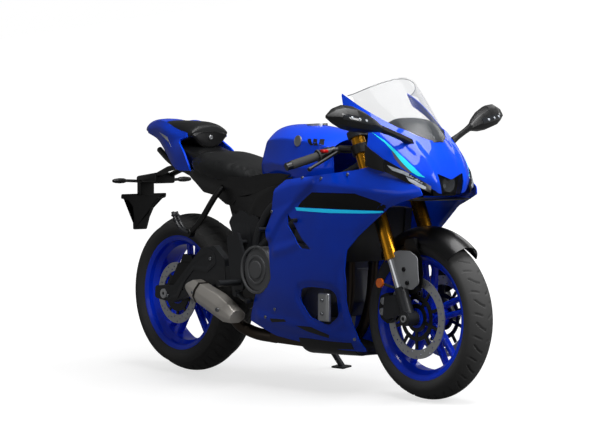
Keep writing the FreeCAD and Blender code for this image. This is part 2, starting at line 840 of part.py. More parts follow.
screen_shares = (
    (
        (1.034, 0.0, 0.807), (1.026, 0.089, 0.812), (1.008, 0.171, 0.822), (0.981, 0.246, 0.838),
        (0.946, 0.314, 0.858), (0.905, 0.377, 0.882), (0.863, 0.429, 0.909), (0.832, 0.457, 0.929),
    ),
    (
        (0.965, 0.0, 0.914), (0.959, 0.091, 0.916), (0.943, 0.183, 0.919), (0.92, 0.263, 0.922),
        (0.895, 0.331, 0.928), (0.867, 0.389, 0.934), (0.842, 0.429, 0.941), (0.822, 0.457, 0.947),
    ),
    (
        (0.89, 0.0, 1.009), (0.887, 0.097, 1.006), (0.879, 0.189, 0.999), (0.866, 0.269, 0.989),
        (0.85, 0.337, 0.978), (0.833, 0.391, 0.966), (0.816, 0.429, 0.957), (0.8, 0.451, 0.951),
    ),
)
lamp_opening_shares = (
    (0.177, 0.712), (0.131, 0.645),
)
lamp_body_shares = (
    (0.206, 0.721), (0.16, 0.641),
)
lamp_back_share = (1.004, 0.0, 0.681)
lens_share = (1.054, 0.0, 0.679)
position_lamp_shares = (
    (
        (0.972, 0.54, 0.755), (1.004, 0.497, 0.736), (1.032, 0.446, 0.717), (1.057, 0.363, 0.695),
        (1.075, 0.263, 0.672),
    ),
    (
        (0.975, 0.554, 0.734), (1.005, 0.514, 0.715), (1.034, 0.463, 0.695), (1.059, 0.383, 0.676),
        (1.077, 0.274, 0.658),
    ),
    (
        (0.979, 0.56, 0.716), (1.007, 0.517, 0.702), (1.035, 0.469, 0.686), (1.06, 0.389, 0.67),
        (1.077, 0.271, 0.651),
    ),
)
cowl_panel_shares = (
    (
        (0.896, 0.546, 0.803), (0.92, 0.56, 0.787), (0.946, 0.554, 0.771), (0.971, 0.543, 0.753),
    ),
    (
        (0.902, 0.563, 0.77), (0.925, 0.571, 0.759), (0.948, 0.566, 0.748), (0.972, 0.554, 0.734),
    ),
    (
        (0.908, 0.577, 0.733), (0.929, 0.577, 0.727), (0.951, 0.571, 0.722), (0.976, 0.56, 0.716),
    ),
)
stay_root_share = 0.722
stay_front_share = (1.012, 0.0, 0.69)
stay_cross_shares = (
    (0.953, 0.32, 0.797), (0.932, 0.56, 0.703),
)
stay_upright_shares = (
    (
        (0.932, 0.0, 0.703), (0.948, 0.0, 0.75), (0.953, 0.0, 0.797),
    ),
)
panel_stay_shares = (
    (0.645, 0.366, 0.686, 0.552),
    (0.502, 0.366, 0.686, 0.517),
    (0.746, 0.171, 0.686, 0.605),
)
lamp_peg_share = (1.021, 0.171, 0.71)
lamp_peg_tip_share = (1.002, 0.486, 0.762)
chin_shares = (
    (1.086, 0.0, 0.628), (1.075, 0.2, 0.628), (1.033, 0.457, 0.628), (0.968, 0.491, 0.628),
    (0.933, 0.434, 0.628), (0.932, 0.0, 0.628),
)
mirror_arm_shares = (
    (0.998, 0.286, 0.817), (0.989, 0.543, 0.849), (0.968, 0.857, 0.879),
)
mirror_body_shares = (
    ((0.976, 0.714, 0.864), 0.04, 0.008),
    ((0.962, 0.857, 0.883), 0.069, 0.019),
    ((0.95, 1.043, 0.893), 0.08, 0.026),
    ((0.945, 1.171, 0.895), 0.057, 0.019),
    ((0.945, 1.22, 0.895), 0.023, 0.007),
)
tank_shares = (
    (0.701, (
        (0.0, 0.829), (0.129, 0.826), (0.234, 0.809), (0.28, 0.772), (0.263, 0.724),
        (0.223, 0.683),
    )),
    (0.645, (
        (0.0, 0.848), (0.171, 0.845), (0.343, 0.819), (0.423, 0.774), (0.417, 0.722),
        (0.349, 0.679),
    )),
    (0.573, (
        (0.0, 0.86), (0.206, 0.857), (0.4, 0.823), (0.469, 0.776), (0.457, 0.72), (0.377, 0.677),
    )),
    (0.502, (
        (0.0, 0.857), (0.217, 0.852), (0.4, 0.817), (0.451, 0.766), (0.423, 0.709), (0.36, 0.674),
    )),
    (0.437, (
        (0.0, 0.823), (0.189, 0.817), (0.337, 0.789), (0.38, 0.746), (0.349, 0.703),
        (0.303, 0.676),
    )),
    (0.381, (
        (0.0, 0.743), (0.143, 0.739), (0.24, 0.726), (0.28, 0.709), (0.274, 0.691), (0.246, 0.678),
    )),
)
filler_share = (0.546, 0.0, 0.859)
rider_seat_shares = (
    (0.092, (
        (0.0, 0.755), (0.189, 0.755), (0.309, 0.743), (0.366, 0.717), (0.354, 0.686),
    )),
    (0.172, (
        (0.0, 0.764), (0.229, 0.764), (0.389, 0.745), (0.434, 0.714), (0.411, 0.679),
    )),
    (0.247, (
        (0.0, 0.762), (0.24, 0.76), (0.394, 0.738), (0.429, 0.707), (0.406, 0.676),
    )),
    (0.315, (
        (0.0, 0.743), (0.206, 0.74), (0.337, 0.721), (0.377, 0.697), (0.354, 0.669),
    )),
    (0.379, (
        (0.0, 0.712), (0.154, 0.709), (0.251, 0.698), (0.291, 0.688), (0.274, 0.677),
    )),
)
pillion_seat_shares = (
    (0.209, (
        (0.0, 0.795), (0.137, 0.792), (0.2, 0.783), (0.223, 0.772),
    )),
    (0.172, (
        (0.0, 0.816), (0.166, 0.813), (0.251, 0.797), (0.28, 0.772),
    )),
    (0.135, (
        (0.0, 0.833), (0.177, 0.83), (0.274, 0.81), (0.303, 0.776),
    )),
    (0.072, (
        (0.0, 0.85), (0.183, 0.847), (0.286, 0.826), (0.314, 0.783),
    )),
    (0.0, (
        (0.0, 0.859), (0.177, 0.856), (0.269, 0.838), (0.297, 0.802),
    )),
    (-0.072, (
        (0.0, 0.86), (0.143, 0.858), (0.217, 0.845), (0.24, 0.821),
    )),
    (-0.133, (
        (0.0, 0.857), (0.091, 0.854), (0.137, 0.847), (0.149, 0.833),
    )),
)
tail_tray_shares = (
    (0.201, (
        (0.0, 0.772), (0.171, 0.771), (0.251, 0.764), (0.286, 0.733), (0.263, 0.69),
    )),
    (0.108, (
        (0.0, 0.786), (0.2, 0.784), (0.274, 0.767), (0.297, 0.733), (0.274, 0.695),
    )),
    (0.014, (
        (0.0, 0.802), (0.183, 0.8), (0.251, 0.783), (0.263, 0.75), (0.217, 0.721),
    )),
    (-0.072, (
        (0.0, 0.824), (0.137, 0.822), (0.183, 0.807), (0.189, 0.783), (0.143, 0.762),
    )),
    (-0.154, (
        (0.0, 0.838), (0.074, 0.836), (0.103, 0.828), (0.103, 0.814), (0.069, 0.803),
    )),
)
tail_collar_shares = (
    (0.198, (
        (0.0, 0.805), (0.189, 0.802), (0.286, 0.783), (0.32, 0.764), (0.309, 0.748),
    )),
    (0.244, (
        (0.0, 0.788), (0.206, 0.784), (0.291, 0.774), (0.314, 0.759), (0.297, 0.743),
    )),
    (0.284, (
        (0.0, 0.772), (0.206, 0.771), (0.28, 0.766), (0.297, 0.757), (0.28, 0.743),
    )),
)
tail_bridge_shares = (
    (-0.086, (
        (0.0, 0.866), (0.177, 0.863), (0.263, 0.853), (0.269, 0.838), (0.2, 0.821),
    )),
    (-0.133, (
        (0.0, 0.869), (0.16, 0.866), (0.223, 0.853), (0.229, 0.833), (0.171, 0.814),
    )),
    (-0.176, (
        (0.0, 0.859), (0.114, 0.855), (0.166, 0.843), (0.166, 0.828), (0.114, 0.814),
    )),
    (-0.208, (
        (0.0, 0.838), (0.051, 0.836), (0.074, 0.829), (0.063, 0.821), (0.029, 0.816),
    )),
)
tail_wing_shares = (
    (
        (-0.136, 0.223, 0.848), (-0.085, 0.26, 0.852), (0.004, 0.289, 0.839),
        (0.055, 0.314, 0.826), (0.075, 0.329, 0.809),
    ),
    (
        (-0.141, 0.223, 0.833), (-0.086, 0.263, 0.829), (-0.007, 0.297, 0.81),
        (0.037, 0.329, 0.802), (0.069, 0.34, 0.781),
    ),
    (
        (-0.143, 0.217, 0.821), (-0.092, 0.251, 0.8), (-0.029, 0.291, 0.772),
        (0.047, 0.337, 0.759), (0.082, 0.349, 0.743),
    ),
    (
        (-0.146, 0.211, 0.814), (-0.09, 0.24, 0.793), (-0.043, 0.28, 0.75), (0.044, 0.331, 0.709),
        (0.097, 0.354, 0.695),
    ),
)
tail_vent_shares = (
    (-0.066, 0.81), (-0.014, 0.798), (0.02, 0.797), (0.007, 0.783), (-0.029, 0.79),
)
belly_shares = (
    (0.604, (
        (0.0, 0.178), (0.343, 0.178), (0.449, 0.172), (0.429, 0.15), (0.32, 0.122), (0.171, 0.117),
    )),
    (0.717, (
        (0.0, 0.178), (0.271, 0.178), (0.374, 0.172), (0.349, 0.148), (0.246, 0.122),
        (0.143, 0.118),
    )),
    (0.776, (
        (0.0, 0.178), (0.229, 0.178), (0.309, 0.172), (0.28, 0.148), (0.206, 0.124), (0.114, 0.12),
    )),
)
side_cover_shares = (
    (0.401, 0.7), (0.559, 0.695), (0.584, 0.679), (0.508, 0.648), (0.388, 0.609), (0.324, 0.616),
    (0.337, 0.659),
)
lower_cover_shares = (
    (0.3, 0.605), (0.388, 0.614), (0.414, 0.608), (0.517, 0.647), (0.503, 0.603), (0.491, 0.578),
    (0.465, 0.537), (0.378, 0.552), (0.326, 0.55), (0.295, 0.563),
)
seat_panel_shares = (
    (
        (0.089, 0.349, 0.695), (0.143, 0.366, 0.684), (0.229, 0.383, 0.679), (0.315, 0.371, 0.672),
        (0.387, 0.366, 0.683),
    ),
    (
        (0.108, 0.337, 0.659), (0.158, 0.346, 0.648), (0.229, 0.36, 0.645), (0.308, 0.374, 0.645),
        (0.38, 0.394, 0.648),
    ),
    (
        (0.136, 0.303, 0.624), (0.174, 0.311, 0.614), (0.237, 0.334, 0.617), (0.3, 0.363, 0.621),
        (0.373, 0.389, 0.624),
    ),
)
licence_arm_shares = (
    (0.029, 0.69), (0.05, 0.716), (-0.086, 0.741), (-0.215, 0.664), (-0.247, 0.655),
    (-0.251, 0.603), (-0.237, 0.595), (-0.208, 0.634), (-0.086, 0.703),
)
licence_plate_shares = (
    (-0.237, 0.651), (-0.247, 0.603), (-0.267, 0.472), (-0.259, 0.47), (-0.228, 0.603),
    (-0.222, 0.648),
)
indicator_stalk_share = (-0.215, 0.057, 0.648)
indicator_tip_share = (-0.194, 0.557, 0.651)
rearset_shares = (
    (0.308, 0.483), (0.358, 0.5), (0.391, 0.405), (0.38, 0.31), (0.337, 0.293), (0.323, 0.362),
)
rider_peg_share = (0.363, 0.334)
rearset_post_shares = (
    (0.356, 0.466), (0.373, 0.405),
)
pedal_shares = (
    (0.358, 0.297), (0.391, 0.278), (0.427, 0.278),
)
pillion_bracket_shares = (
    ((0.215, 0.286, 0.657), (0.181, 0.417, 0.569), (0.147, 0.509, 0.498)),
    ((0.28, 0.331, 0.562), (0.219, 0.4, 0.534), (0.152, 0.486, 0.509)),
)
pillion_peg_share = (0.154, 0.486, 0.5)
stand_pivot_share = (0.373, 0.44, 0.226)
stand_foot_share = (0.423, 0.777, 0.04)
stand_bracket_shares = (
    (0.348, 0.284), (0.401, 0.284), (0.393, 0.203), (0.354, 0.203),
)

# Front end
caliper_bracket_shares = (
    (0.896, 0.259), (0.909, 0.248), (0.992, 0.278), (0.986, 0.312), (0.953, 0.331), (0.902, 0.321),
)
caliper_shares = (
    (0.878, 0.25), (0.905, 0.234), (0.932, 0.259), (0.925, 0.303), (0.905, 0.334), (0.876, 0.321),
    (0.869, 0.284),
)
fender_link_shares = (
    (0.961, 0.479), (0.969, 0.503), (1.001, 0.509), (1.011, 0.479),
)
fender_plate_shares = (
    (0.958, 0.47), (0.979, 0.49), (1.011, 0.483), (1.029, 0.448), (1.034, 0.397), (1.028, 0.349),
    (1.004, 0.334), (0.969, 0.334), (0.968, 0.405),
)
reflector_share = (0.908, 0.36, 0.365)


# Steering

def on_axis(up):
    """The place on the steering axis at one height."""
    return V(steering_foot - up * math.tan(math.radians(rake)), 0, up)


def on_fork(up, across):
    """The place on a fork leg's centre line at one height."""
    back = (up - front_radius) * math.tan(math.radians(rake))
    return V(wheelbase - back, across, up)


axis_way = V(-sin(rake), 0, cos(rake))
axis_right = V(cos(rake), 0, sin(rake))


def stem_bottom():
    """The lower end of the steering stem."""
    return on_axis(lower_clamp_height) - axis_way * (lower_clamp_depth / 2 + stem_drop)


def make_front_end():
    """The fork, clamps, bars and brakes that turn with the steering."""
    low = [on_fork(lower_clamp_height, a) for a in (-fork_half_width, fork_half_width)]
    top = [on_fork(upper_clamp_height, a) for a in (-fork_half_width, fork_half_width)]
    nodes = {}
    for name, height_now, depth in (("lower_clamp", lower_clamp_height, lower_clamp_depth),
                                    ("upper_clamp", upper_clamp_height, upper_clamp_depth)):
        middle = on_axis(height_now)
        legs = [on_fork(height_now, a) for a in (-fork_half_width, fork_half_width)]
        legs = [leg - axis_way * (leg - middle).dot(axis_way) for leg in legs]
        half = axis_way * (depth / 2)
        boss = clamp_wall + fork_outer_radius
        solids = [cylinder(middle - half, middle + half, stem_boss_radius)]
        solids += [cylinder(leg - half, leg + half, boss) for leg in legs]
        web = []
        for a, b in ((-1, 0), (1, 0), (1, 1), (-1, 1)):
            web.append((legs[0] + axis_right * (boss * 0.6 * a)) if b == 0
                       else (legs[1] + axis_right * (boss * 0.6 * a)))
        corners = [web[0], web[1], web[2], web[3]]
        bridge = plate([c - half * 0.7 for c in corners], 0, half * 1.4)
        bulge = []
        for leg, a in ((legs[0], -1), (legs[1], 1)):
            bulge.append(leg - axis_right * (boss * 0.5))
        back_points = [bulge[0], middle - axis_right * stem_boss_radius * 0.8 - Y * stem_boss_radius,
                       middle - axis_right * stem_boss_radius * 0.8 + Y * stem_boss_radius, bulge[1]]
        bridge_back = plate([c - half * 0.7 for c in back_points], 0, half * 1.4)
        clamp = fuse(solids + [bridge, bridge_back])
        for leg in legs:
            clamp = clamp.cut(cylinder(leg - axis_way * depth, leg + axis_way * depth,
                                       fork_outer_radius))
        nodes[name] = clamp
    stem = cylinder(on_axis(lower_clamp_height) - axis_way * (lower_clamp_depth / 2 + stem_drop),
                    on_axis(upper_clamp_height) + axis_way * (upper_clamp_depth / 2 + stem_nut_height),
                    stem_radius)
    nut = cylinder(on_axis(upper_clamp_height) + axis_way * (upper_clamp_depth / 2),
                   on_axis(upper_clamp_height) + axis_way * (upper_clamp_depth / 2 + stem_nut_height),
                   stem_nut_radius)
    nodes["lower_clamp"] = fuse([nodes["lower_clamp"], stem, nut])
    nodes["lower_clamp"] = nodes["lower_clamp"].cut(
        cylinder(stem_bottom() - axis_way * overrun, stem_bottom() + axis_way * stem_bore_depth,
                 stem_bore_radius))
    nodes["upper_clamp"] = [nodes["upper_clamp"].cut(nodes["lower_clamp"])]
    nodes["lower_clamp"] = [nodes["lower_clamp"]]

    outers = []
    inners = []
    feet = []
    caps = []
    for across in (-fork_half_width, fork_half_width):
        seal = on_fork(seal_height, across)
        crown_end = on_fork(upper_clamp_height, across) + axis_way * fork_cap_rise
        tube_low = cylinder(seal, crown_end, fork_outer_radius)
        collar = cylinder(seal, seal + axis_way * seal_depth, fork_outer_radius + seal_lip)
        bore = cylinder(seal - axis_way * overrun, crown_end - axis_way * fork_cap_depth,
                        stanchion_radius)
        outers.append(fuse([tube_low, collar]).cut(bore))
        foot_top = on_fork(foot_height, across)
        inners.append(cylinder(foot_top - axis_way * foot_socket, seal + axis_way * stanchion_engagement,
                               stanchion_radius))
        axle_point = V(wheelbase, across, front_radius)
        shank = cylinder(axle_point + axis_way * axle_radius, foot_top, foot_radius)
        lug = cylinder(axle_point - Y * lug_half_width, axle_point + Y * lug_half_width, lug_radius)
        foot = fuse([shank, lug])
        side = 1 if across > 0 else -1
        mount_points = side_points(caliper_bracket_shares, 0)
        ear = plate(mount_points, panel_gap * overrun, V(0, side * caliper_bracket_thickness, 0))
        ear.translate(V(0, side * (caliper_face - caliper_bracket_thickness), 0))
        a, c, d = reflector_share
        arm = cylinder(foot_top - axis_way * foot_socket * 0.3, spot(a, side * c, d), reflector_arm_radius)
        disc = cylinder(spot(a, side * c, d), spot(a, side * c, d) + Y * side * half_width, reflector_radius)
        foot = fuse([foot, ear, arm.cut(disc)])
        foot = foot.cut(cylinder(foot_top - axis_way * foot_socket, foot_top + axis_way * half_width,
                                 stanchion_radius))
        foot = foot.cut(cylinder(axle_point - Y * half_width, axle_point + Y * half_width, axle_radius))
        feet.append(foot)
    nodes["fork_outers"] = outers
    nodes["fork_stanchions"] = inners
    nodes["fork_feet"] = feet
    reach = fork_half_width + lug_half_width + axle_head
    rod = ring(front_axle - Y * reach, front_axle + Y * reach, axle_radius, front_axle_bore_radius)
    spacers = []
    hub_end = front_disc_offset + carrier_thickness / 2
    for side in (-1, 1):
        spacers.append(ring(front_axle + Y * side * (hub_end + seat_gap),
                            front_axle + Y * side * (fork_half_width - lug_half_width),
                            spacer_radius, axle_radius))
    nodes["front_axle"] = [rod] + spacers
    nodes["front_calipers"] = make_front_calipers()
    nodes.update(make_bars())
    nodes["front_fender"] = make_front_fender(outers + inners + feet)
    nodes["front_reflectors"] = make_front_reflectors()
    return nodes


def make_front_calipers():
    """Radial calipers on their brackets, each bridging its rotor."""
    solids = []
    for side in (-1, 1):
        mid = side * front_disc_offset
        points = side_points(caliper_shares, 0)
        body = plate(points, caliper_corner, V(0, caliper_width, 0))
        body.translate(V(0, mid - caliper_width / 2, 0))
        slot = cylinder(front_axle + Y * (mid - caliper_slot / 2), front_axle + Y * (mid + caliper_slot / 2),
                        front_disc_radius + overrun)
        body = body.cut(slot)
        solids.append(body)
    return solids


def make_bars():
    """Clip-on bars with their grips, switch blocks, brake and clutch levers."""
    bars = []
    grips = []
    controls = []
    levers = []
    for side in (-1, 1):
        clamp_mid = on_fork(clip_height, side * fork_half_width)
        half = axis_way * (clip_depth / 2)
        band = cylinder(clamp_mid - half, clamp_mid + half, fork_outer_radius + clamp_wall)
        inner = spot(0.754, 0.366, 0.785)
        outer = spot(0.715, 1.0, 0.727)
        inner = V(inner.x, inner.y * side, inner.z)
        outer = V(outer.x, outer.y * side, outer.z)
        way = (outer - inner).normalize()
        arm_points = [clamp_mid + Y * side * bar_radius, inner - way * bar_radius]
        arm = cylinder(clamp_mid, inner + way * bar_radius, bar_radius * 1.25)
        bar = cylinder(inner, outer - way * bar_end_length, bar_radius)
        joint = fuse([band, arm, bar])
        joint = joint.cut(cylinder(clamp_mid - half * 3, clamp_mid + half * 3, fork_outer_radius))
        grip_low = outer - way * (bar_end_length + grip_length)
        grip = cylinder(grip_low, outer - way * bar_end_length, grip_radius)
        flange = cylinder(grip_low, grip_low + way * grip_flange, grip_flange_radius)
        grip = fuse([grip, flange]).cut(cylinder(grip_low - way * overrun, outer, bar_radius))
        weight = cylinder(outer - way * bar_end_length, outer, bar_end_radius)
        bars.append(fuse([joint, weight]))
        grips.append(grip)
        block_end = grip_low - way * seat_gap
        block_start = block_end - way * switch_length
        housing = cylinder(block_start, block_end, switch_radius)
        housing = housing.cut(cylinder(block_start - way * overrun, block_end + way * overrun, bar_radius))
        controls.append(housing)
        perch_low = block_start - way * (seat_gap + perch_length)
        perch = cylinder(perch_low, block_start - way * seat_gap, perch_radius)
        forward = way.cross(Z).normalize() * side
        if forward.x < 0:
            forward = forward * -1
        pivot = (perch_low + block_start) * 0.5 + forward * lever_reach
        arm = cylinder((perch_low + block_start) * 0.5, pivot + forward * lever_thickness, perch_radius * 0.5)
        tip = spot(0.786, 0.92, 0.722)
        tip = V(tip.x, tip.y * side, tip.z)
        blade = cylinder(pivot, tip, lever_thickness)
        ball = Part.makeSphere(lever_thickness * 1.5, tip)
        perch = fuse([perch, arm, blade, ball])
        perch = perch.cut(cylinder(perch_low - way * overrun, block_start + way * overrun, bar_radius))
        levers.append(perch)
    return {"clip_on_bars": bars, "grips": grips, "hand_controls": controls + levers}


def make_front_fender(legs):
    """The arched mudguard over the front tyre with its side plates down to the fork feet."""
    outer = front_radius + fender_gap + shell
    inner = front_radius + fender_gap
    arc = []
    for radius, crown in ((outer, fender_crown + shell), (inner, fender_crown)):
        centre_ring = radius - crown
        turned = Part.makeTorus(centre_ring, crown, ORIGIN, Y)
        turned.translate(front_axle)
        arc.append(turned)
    skin = arc[0].cut(arc[1])
    wedge_points = [front_axle]
    for angle in fender_angles:
        wedge_points.append(front_axle + V(cos(angle), 0, sin(angle)) * (outer * 1.6))
    wedge = plate(wedge_points, 0, Y * (front_tyre_width * 2))
    wedge.translate(Y * -front_tyre_width)
    side_cut = cylinder(front_axle - Y * front_tyre_width, front_axle + Y * front_tyre_width,
                        outer - fender_side_depth)
    skin = skin.common(wedge).cut(side_cut)
    plates = []
    for side in (-1, 1):
        low = side * fender_plate_across
        guard = plate(side_points(fender_plate_shares, low), fender_plate_corner,
                      V(0, side * fender_plate_thickness, 0))
        link_low = side * (front_tyre_width / 2 + moving_gap)
        link = plate(side_points(fender_link_shares, link_low), 0,
                     V(0, low + side * fender_plate_thickness - link_low, 0))
        plates.append(guard)
        plates.append(link)
    guard = fuse([largest(skin)] + plates)
    for piece in legs:
        guard = guard.cut(piece)
    return [largest(guard)]


def make_front_reflectors():
    solids = []
    for side in (-1, 1):
        a, b, c = reflector_share
        centre = spot(a, side * b, c)
        solids.append(cylinder(centre, centre + Y * side * reflector_depth, reflector_radius))
    return solids


# Frame, swingarm and running gear

def make_main_frame():
    """Head tube, bent side spars, cross tubes and the plates that carry the swingarm pivot."""
    low = on_axis(lower_clamp_height) + axis_way * (lower_clamp_depth / 2 + moving_gap)
    top = on_axis(upper_clamp_height) - axis_way * (upper_clamp_depth / 2 + moving_gap)
    solids = [cylinder(low, top, head_tube_radius)]
    for side in (-1, 1):
        for table in (upper_spar_shares, lower_spar_shares):
            points = [spot(a, side * b, c) for a, b, c in table]
            solids.append(tube(points, spar_radius))
        pivot_plate = panel(pivot_plate_shares, 0, plate_thickness, plate_corner)
        pivot_plate.translate(V(0, side * pivot_plate_across - plate_thickness / 2, 0))
        solids.append(pivot_plate)
    for table in cross_tube_shares:
        a, b, c = table
        solids.append(cylinder(spot(a, -b, c), spot(a, b, c), cross_radius))
    frame = fuse(solids)
    return [frame.cut(cylinder(low - axis_way * overrun, top + axis_way * overrun, stem_radius + seat_gap))]


def make_subframe(frame):
    """The tube frame that carries the seats and the tail."""
    solids = []
    for side in (-1, 1):
        for table in (seat_rail_shares, seat_strut_shares):
            solids.append(tube([spot(a, side * b, c) for a, b, c in table], rail_radius))
    for a, b, c in seat_cross_shares:
        solids.append(cylinder(spot(a, -b, c), spot(a, b, c), rail_radius))
    return [largest(fuse(solids).cut(frame))]


def make_swingarm():
    """Two deep rear arms, the links that draw in to the pivot tube and the shock's ears."""
    solids = []
    pivot = spot(*pivot_share)
    for side in (-1, 1):
        arm = panel(swingarm_shares, 0, arm_thickness, arm_corner)
        arm.translate(V(0, side * arm_across - arm_thickness / 2, 0))
        solids.append(arm)
        plan = [V(wheelbase * a, side * half_width * c, height * link_low_share) for a, c in arm_link_shares]
        solids.append(plate(plan, 0, Z * (height * (link_high_share - link_low_share))))
        ear = panel(shock_ear_shares, 0, ear_thickness, 0)
        ear.translate(V(0, side * (shock_eye_half + seat_gap + ear_thickness / 2) - ear_thickness / 2, 0))
        solids.append(ear)
    inner = pivot_plate_across - plate_thickness / 2 - seat_gap
    solids.append(cylinder(pivot - Y * pivot_tube_half, pivot + Y * pivot_tube_half, pivot_tube_radius))
    solids.append(cylinder(pivot - Y * inner, pivot + Y * inner, pivot_bolt_radius))
    solids.append(panel(arm_brace_shares, -arm_across, arm_across, arm_corner / 2))
    arm = fuse(solids)
    arm = arm.cut(cylinder(rear_axle - Y * half_width, rear_axle + Y * half_width, axle_radius))
    for side in (-1, 1):
        face = side * (arm_across + arm_thickness / 2)
        mouth = spot(*spool_share) + Y * face
        arm = arm.cut(cylinder(mouth - Y * side * spool_depth, mouth + Y * side * overrun, spool_radius))
    return [arm]


def make_rear_axle():
    reach = arm_across + arm_thickness / 2 + axle_head
    bar = ring(rear_axle - Y * reach, rear_axle + Y * reach, axle_radius, rear_axle_bore_radius)
    nuts = []
    for side in (-1, 1):
        face = arm_across + arm_thickness / 2
        nuts.append(ring(rear_axle + Y * side * face, rear_axle + Y * side * (face + axle_head),
                         axle_nut_radius, rear_axle_bore_radius))
    return [fuse([bar] + nuts)]


def make_rear_spacers():
    right_end = rear_disc_offset + carrier_thickness / 2 + seat_gap
    left_end = chain_line + sprocket_thickness / 2 + seat_gap
    face = arm_across - arm_thickness / 2
    return [ring(rear_axle - Y * right_end, rear_axle - Y * face, spacer_radius, axle_radius),
            ring(rear_axle + Y * left_end, rear_axle + Y * face, spacer_radius, axle_radius)]


def make_rear_caliper():
    """A caliper over the rear rotor with its bracket on the arm's inner face."""
    mid = -rear_disc_offset
    body = panel(rear_caliper_shares, 0, rear_caliper_width, caliper_corner)
    body.translate(V(0, mid - rear_caliper_width / 2, 0))
    face = mid - rear_caliper_width / 2
    hanger = panel(rear_hanger_shares, face - rear_hanger_thickness, face, caliper_corner)
    hanger = hanger.cut(cylinder(rear_axle - Y * half_width, rear_axle + Y * half_width, spacer_radius))
    body = fuse([body, hanger])
    slot = cylinder(rear_axle + Y * (mid - caliper_slot / 2), rear_axle + Y * (mid + caliper_slot / 2),
                    rear_disc_radius + overrun)
    return [body.cut(slot)]


def make_shock(frame, arm):
    """The shock absorber between the frame's cross tube and the arm's ears."""
    low = spot(*shock_low_share)
    top = spot(*shock_top_share)
    way = (top - low).normalize()
    length = (top - low).Length
    solids = [cylinder(low, top, shock_rod_radius),
              cylinder(low + way * length * spring_low_share, low + way * length * (spring_low_share + 0.04),
                       spring_radius + spring_wire),
              cylinder(low + way * length * spring_high_share, low + way * length * (spring_high_share + 0.04),
                       spring_radius + spring_wire),
              cylinder(low + way * length * spring_low_share, low + way * length * spring_high_share,
                       spring_radius * 0.7)]
    for turn in range(spring_turns):
        share = spring_low_share + (spring_high_share - spring_low_share) * (turn + 0.5) / spring_turns
        solids.append(Part.makeTorus(spring_radius * 0.85, spring_wire, low + way * length * share, way))
    for end in (low, top):
        solids.append(cylinder(end - Y * shock_eye_half, end + Y * shock_eye_half, shock_eye_radius))
    return [largest(fuse(solids).cut(frame).cut(arm))]


def make_engine(frame):
    """Crankcase, two forward-leaning cylinders and the head, with round side covers."""
    case = panel(crankcase_shares, -crankcase_half, crankcase_half, engine_corner)
    cylinders = panel(cylinder_block_shares, -cylinder_half, cylinder_half, engine_corner)
    head = panel(head_shares, -head_half, head_half, engine_corner)
    sump = panel(sump_shares, -sump_half, sump_half, engine_corner)
    body = fuse([case, cylinders, head, sump])
    recess_low = spot(*sprocket_recess_low_share)
    recess_high = spot(*sprocket_recess_high_share)
    body = body.cut(block(V(recess_low.x, chain_line - sprocket_thickness - moving_gap, recess_low.z),
                          V(recess_high.x, half_width, recess_high.z)))
    shaft_at = spot(*front_sprocket_share)
    shaft = cylinder(shaft_at, shaft_at + Y * (chain_line + sprocket_thickness), shaft_radius)
    body = largest(fuse([body, shaft]).cut(frame))
    cover = panel(sprocket_cover_shares, crankcase_half, crankcase_half + sprocket_cover_depth, plate_corner)
    covers = [largest(cover.cut(frame))]
    for place, radius, reach, side in engine_cover_shares:
        centre = spot(place[0], 0, place[1])
        start = centre + Y * side * crankcase_half
        end = start + Y * side * reach * half_width
        barrel = cylinder(start, end, radius * height)
        edges = [edge for edge in barrel.Edges if abs(edge.BoundBox.Center.y - end.y) < cover_round / 9]
        covers.append(largest(barrel.makeFillet(cover_round, edges).cut(frame)))
    return {"engine": [body], "engine_covers": covers}


def make_exhaust(engine):
    """Two header pipes that join under the engine and the short upswept silencer."""
    pipes = []
    for side in (-1, 1):
        points = [spot(a, side * b, c) for a, b, c in header_shares]
        pipes.append(tube(points, header_radius))
    box = panel(collector_shares, -collector_half, collector_half, engine_corner)
    link = tube(spots(link_pipe_shares), link_pipe_radius)
    body = fuse(pipes + [box, link])
    stations = []
    for place, wide, tall in silencer_shares:
        stations.append((spot(*place), half_width * wide, height * tall))
    axis = (stations[-1][0] - stations[0][0]).normalize()
    upward = Y.cross(axis).normalize() * -1
    wires = []
    for centre, wide, tall in stations:
        corners = []
        for a, b in ((-0.55, 1), (0.8, 0.75), (1, 0.1), (0.55, -1), (-0.8, -0.9), (-1, 0.2)):
            corners.append(centre + Y * -a * wide + upward * b * tall)
        wires.append(rounded(corners, silencer_corner))
    can = Part.makeLoft(wires, True, True)
    outlet = cylinder(stations[0][0] - axis * overrun * 2, stations[0][0] + axis * outlet_depth,
                      outlet_radius)
    can = can.cut(outlet)
    return {"exhaust_pipes": [largest(body.cut(can).cut(engine))], "silencer": [can]}


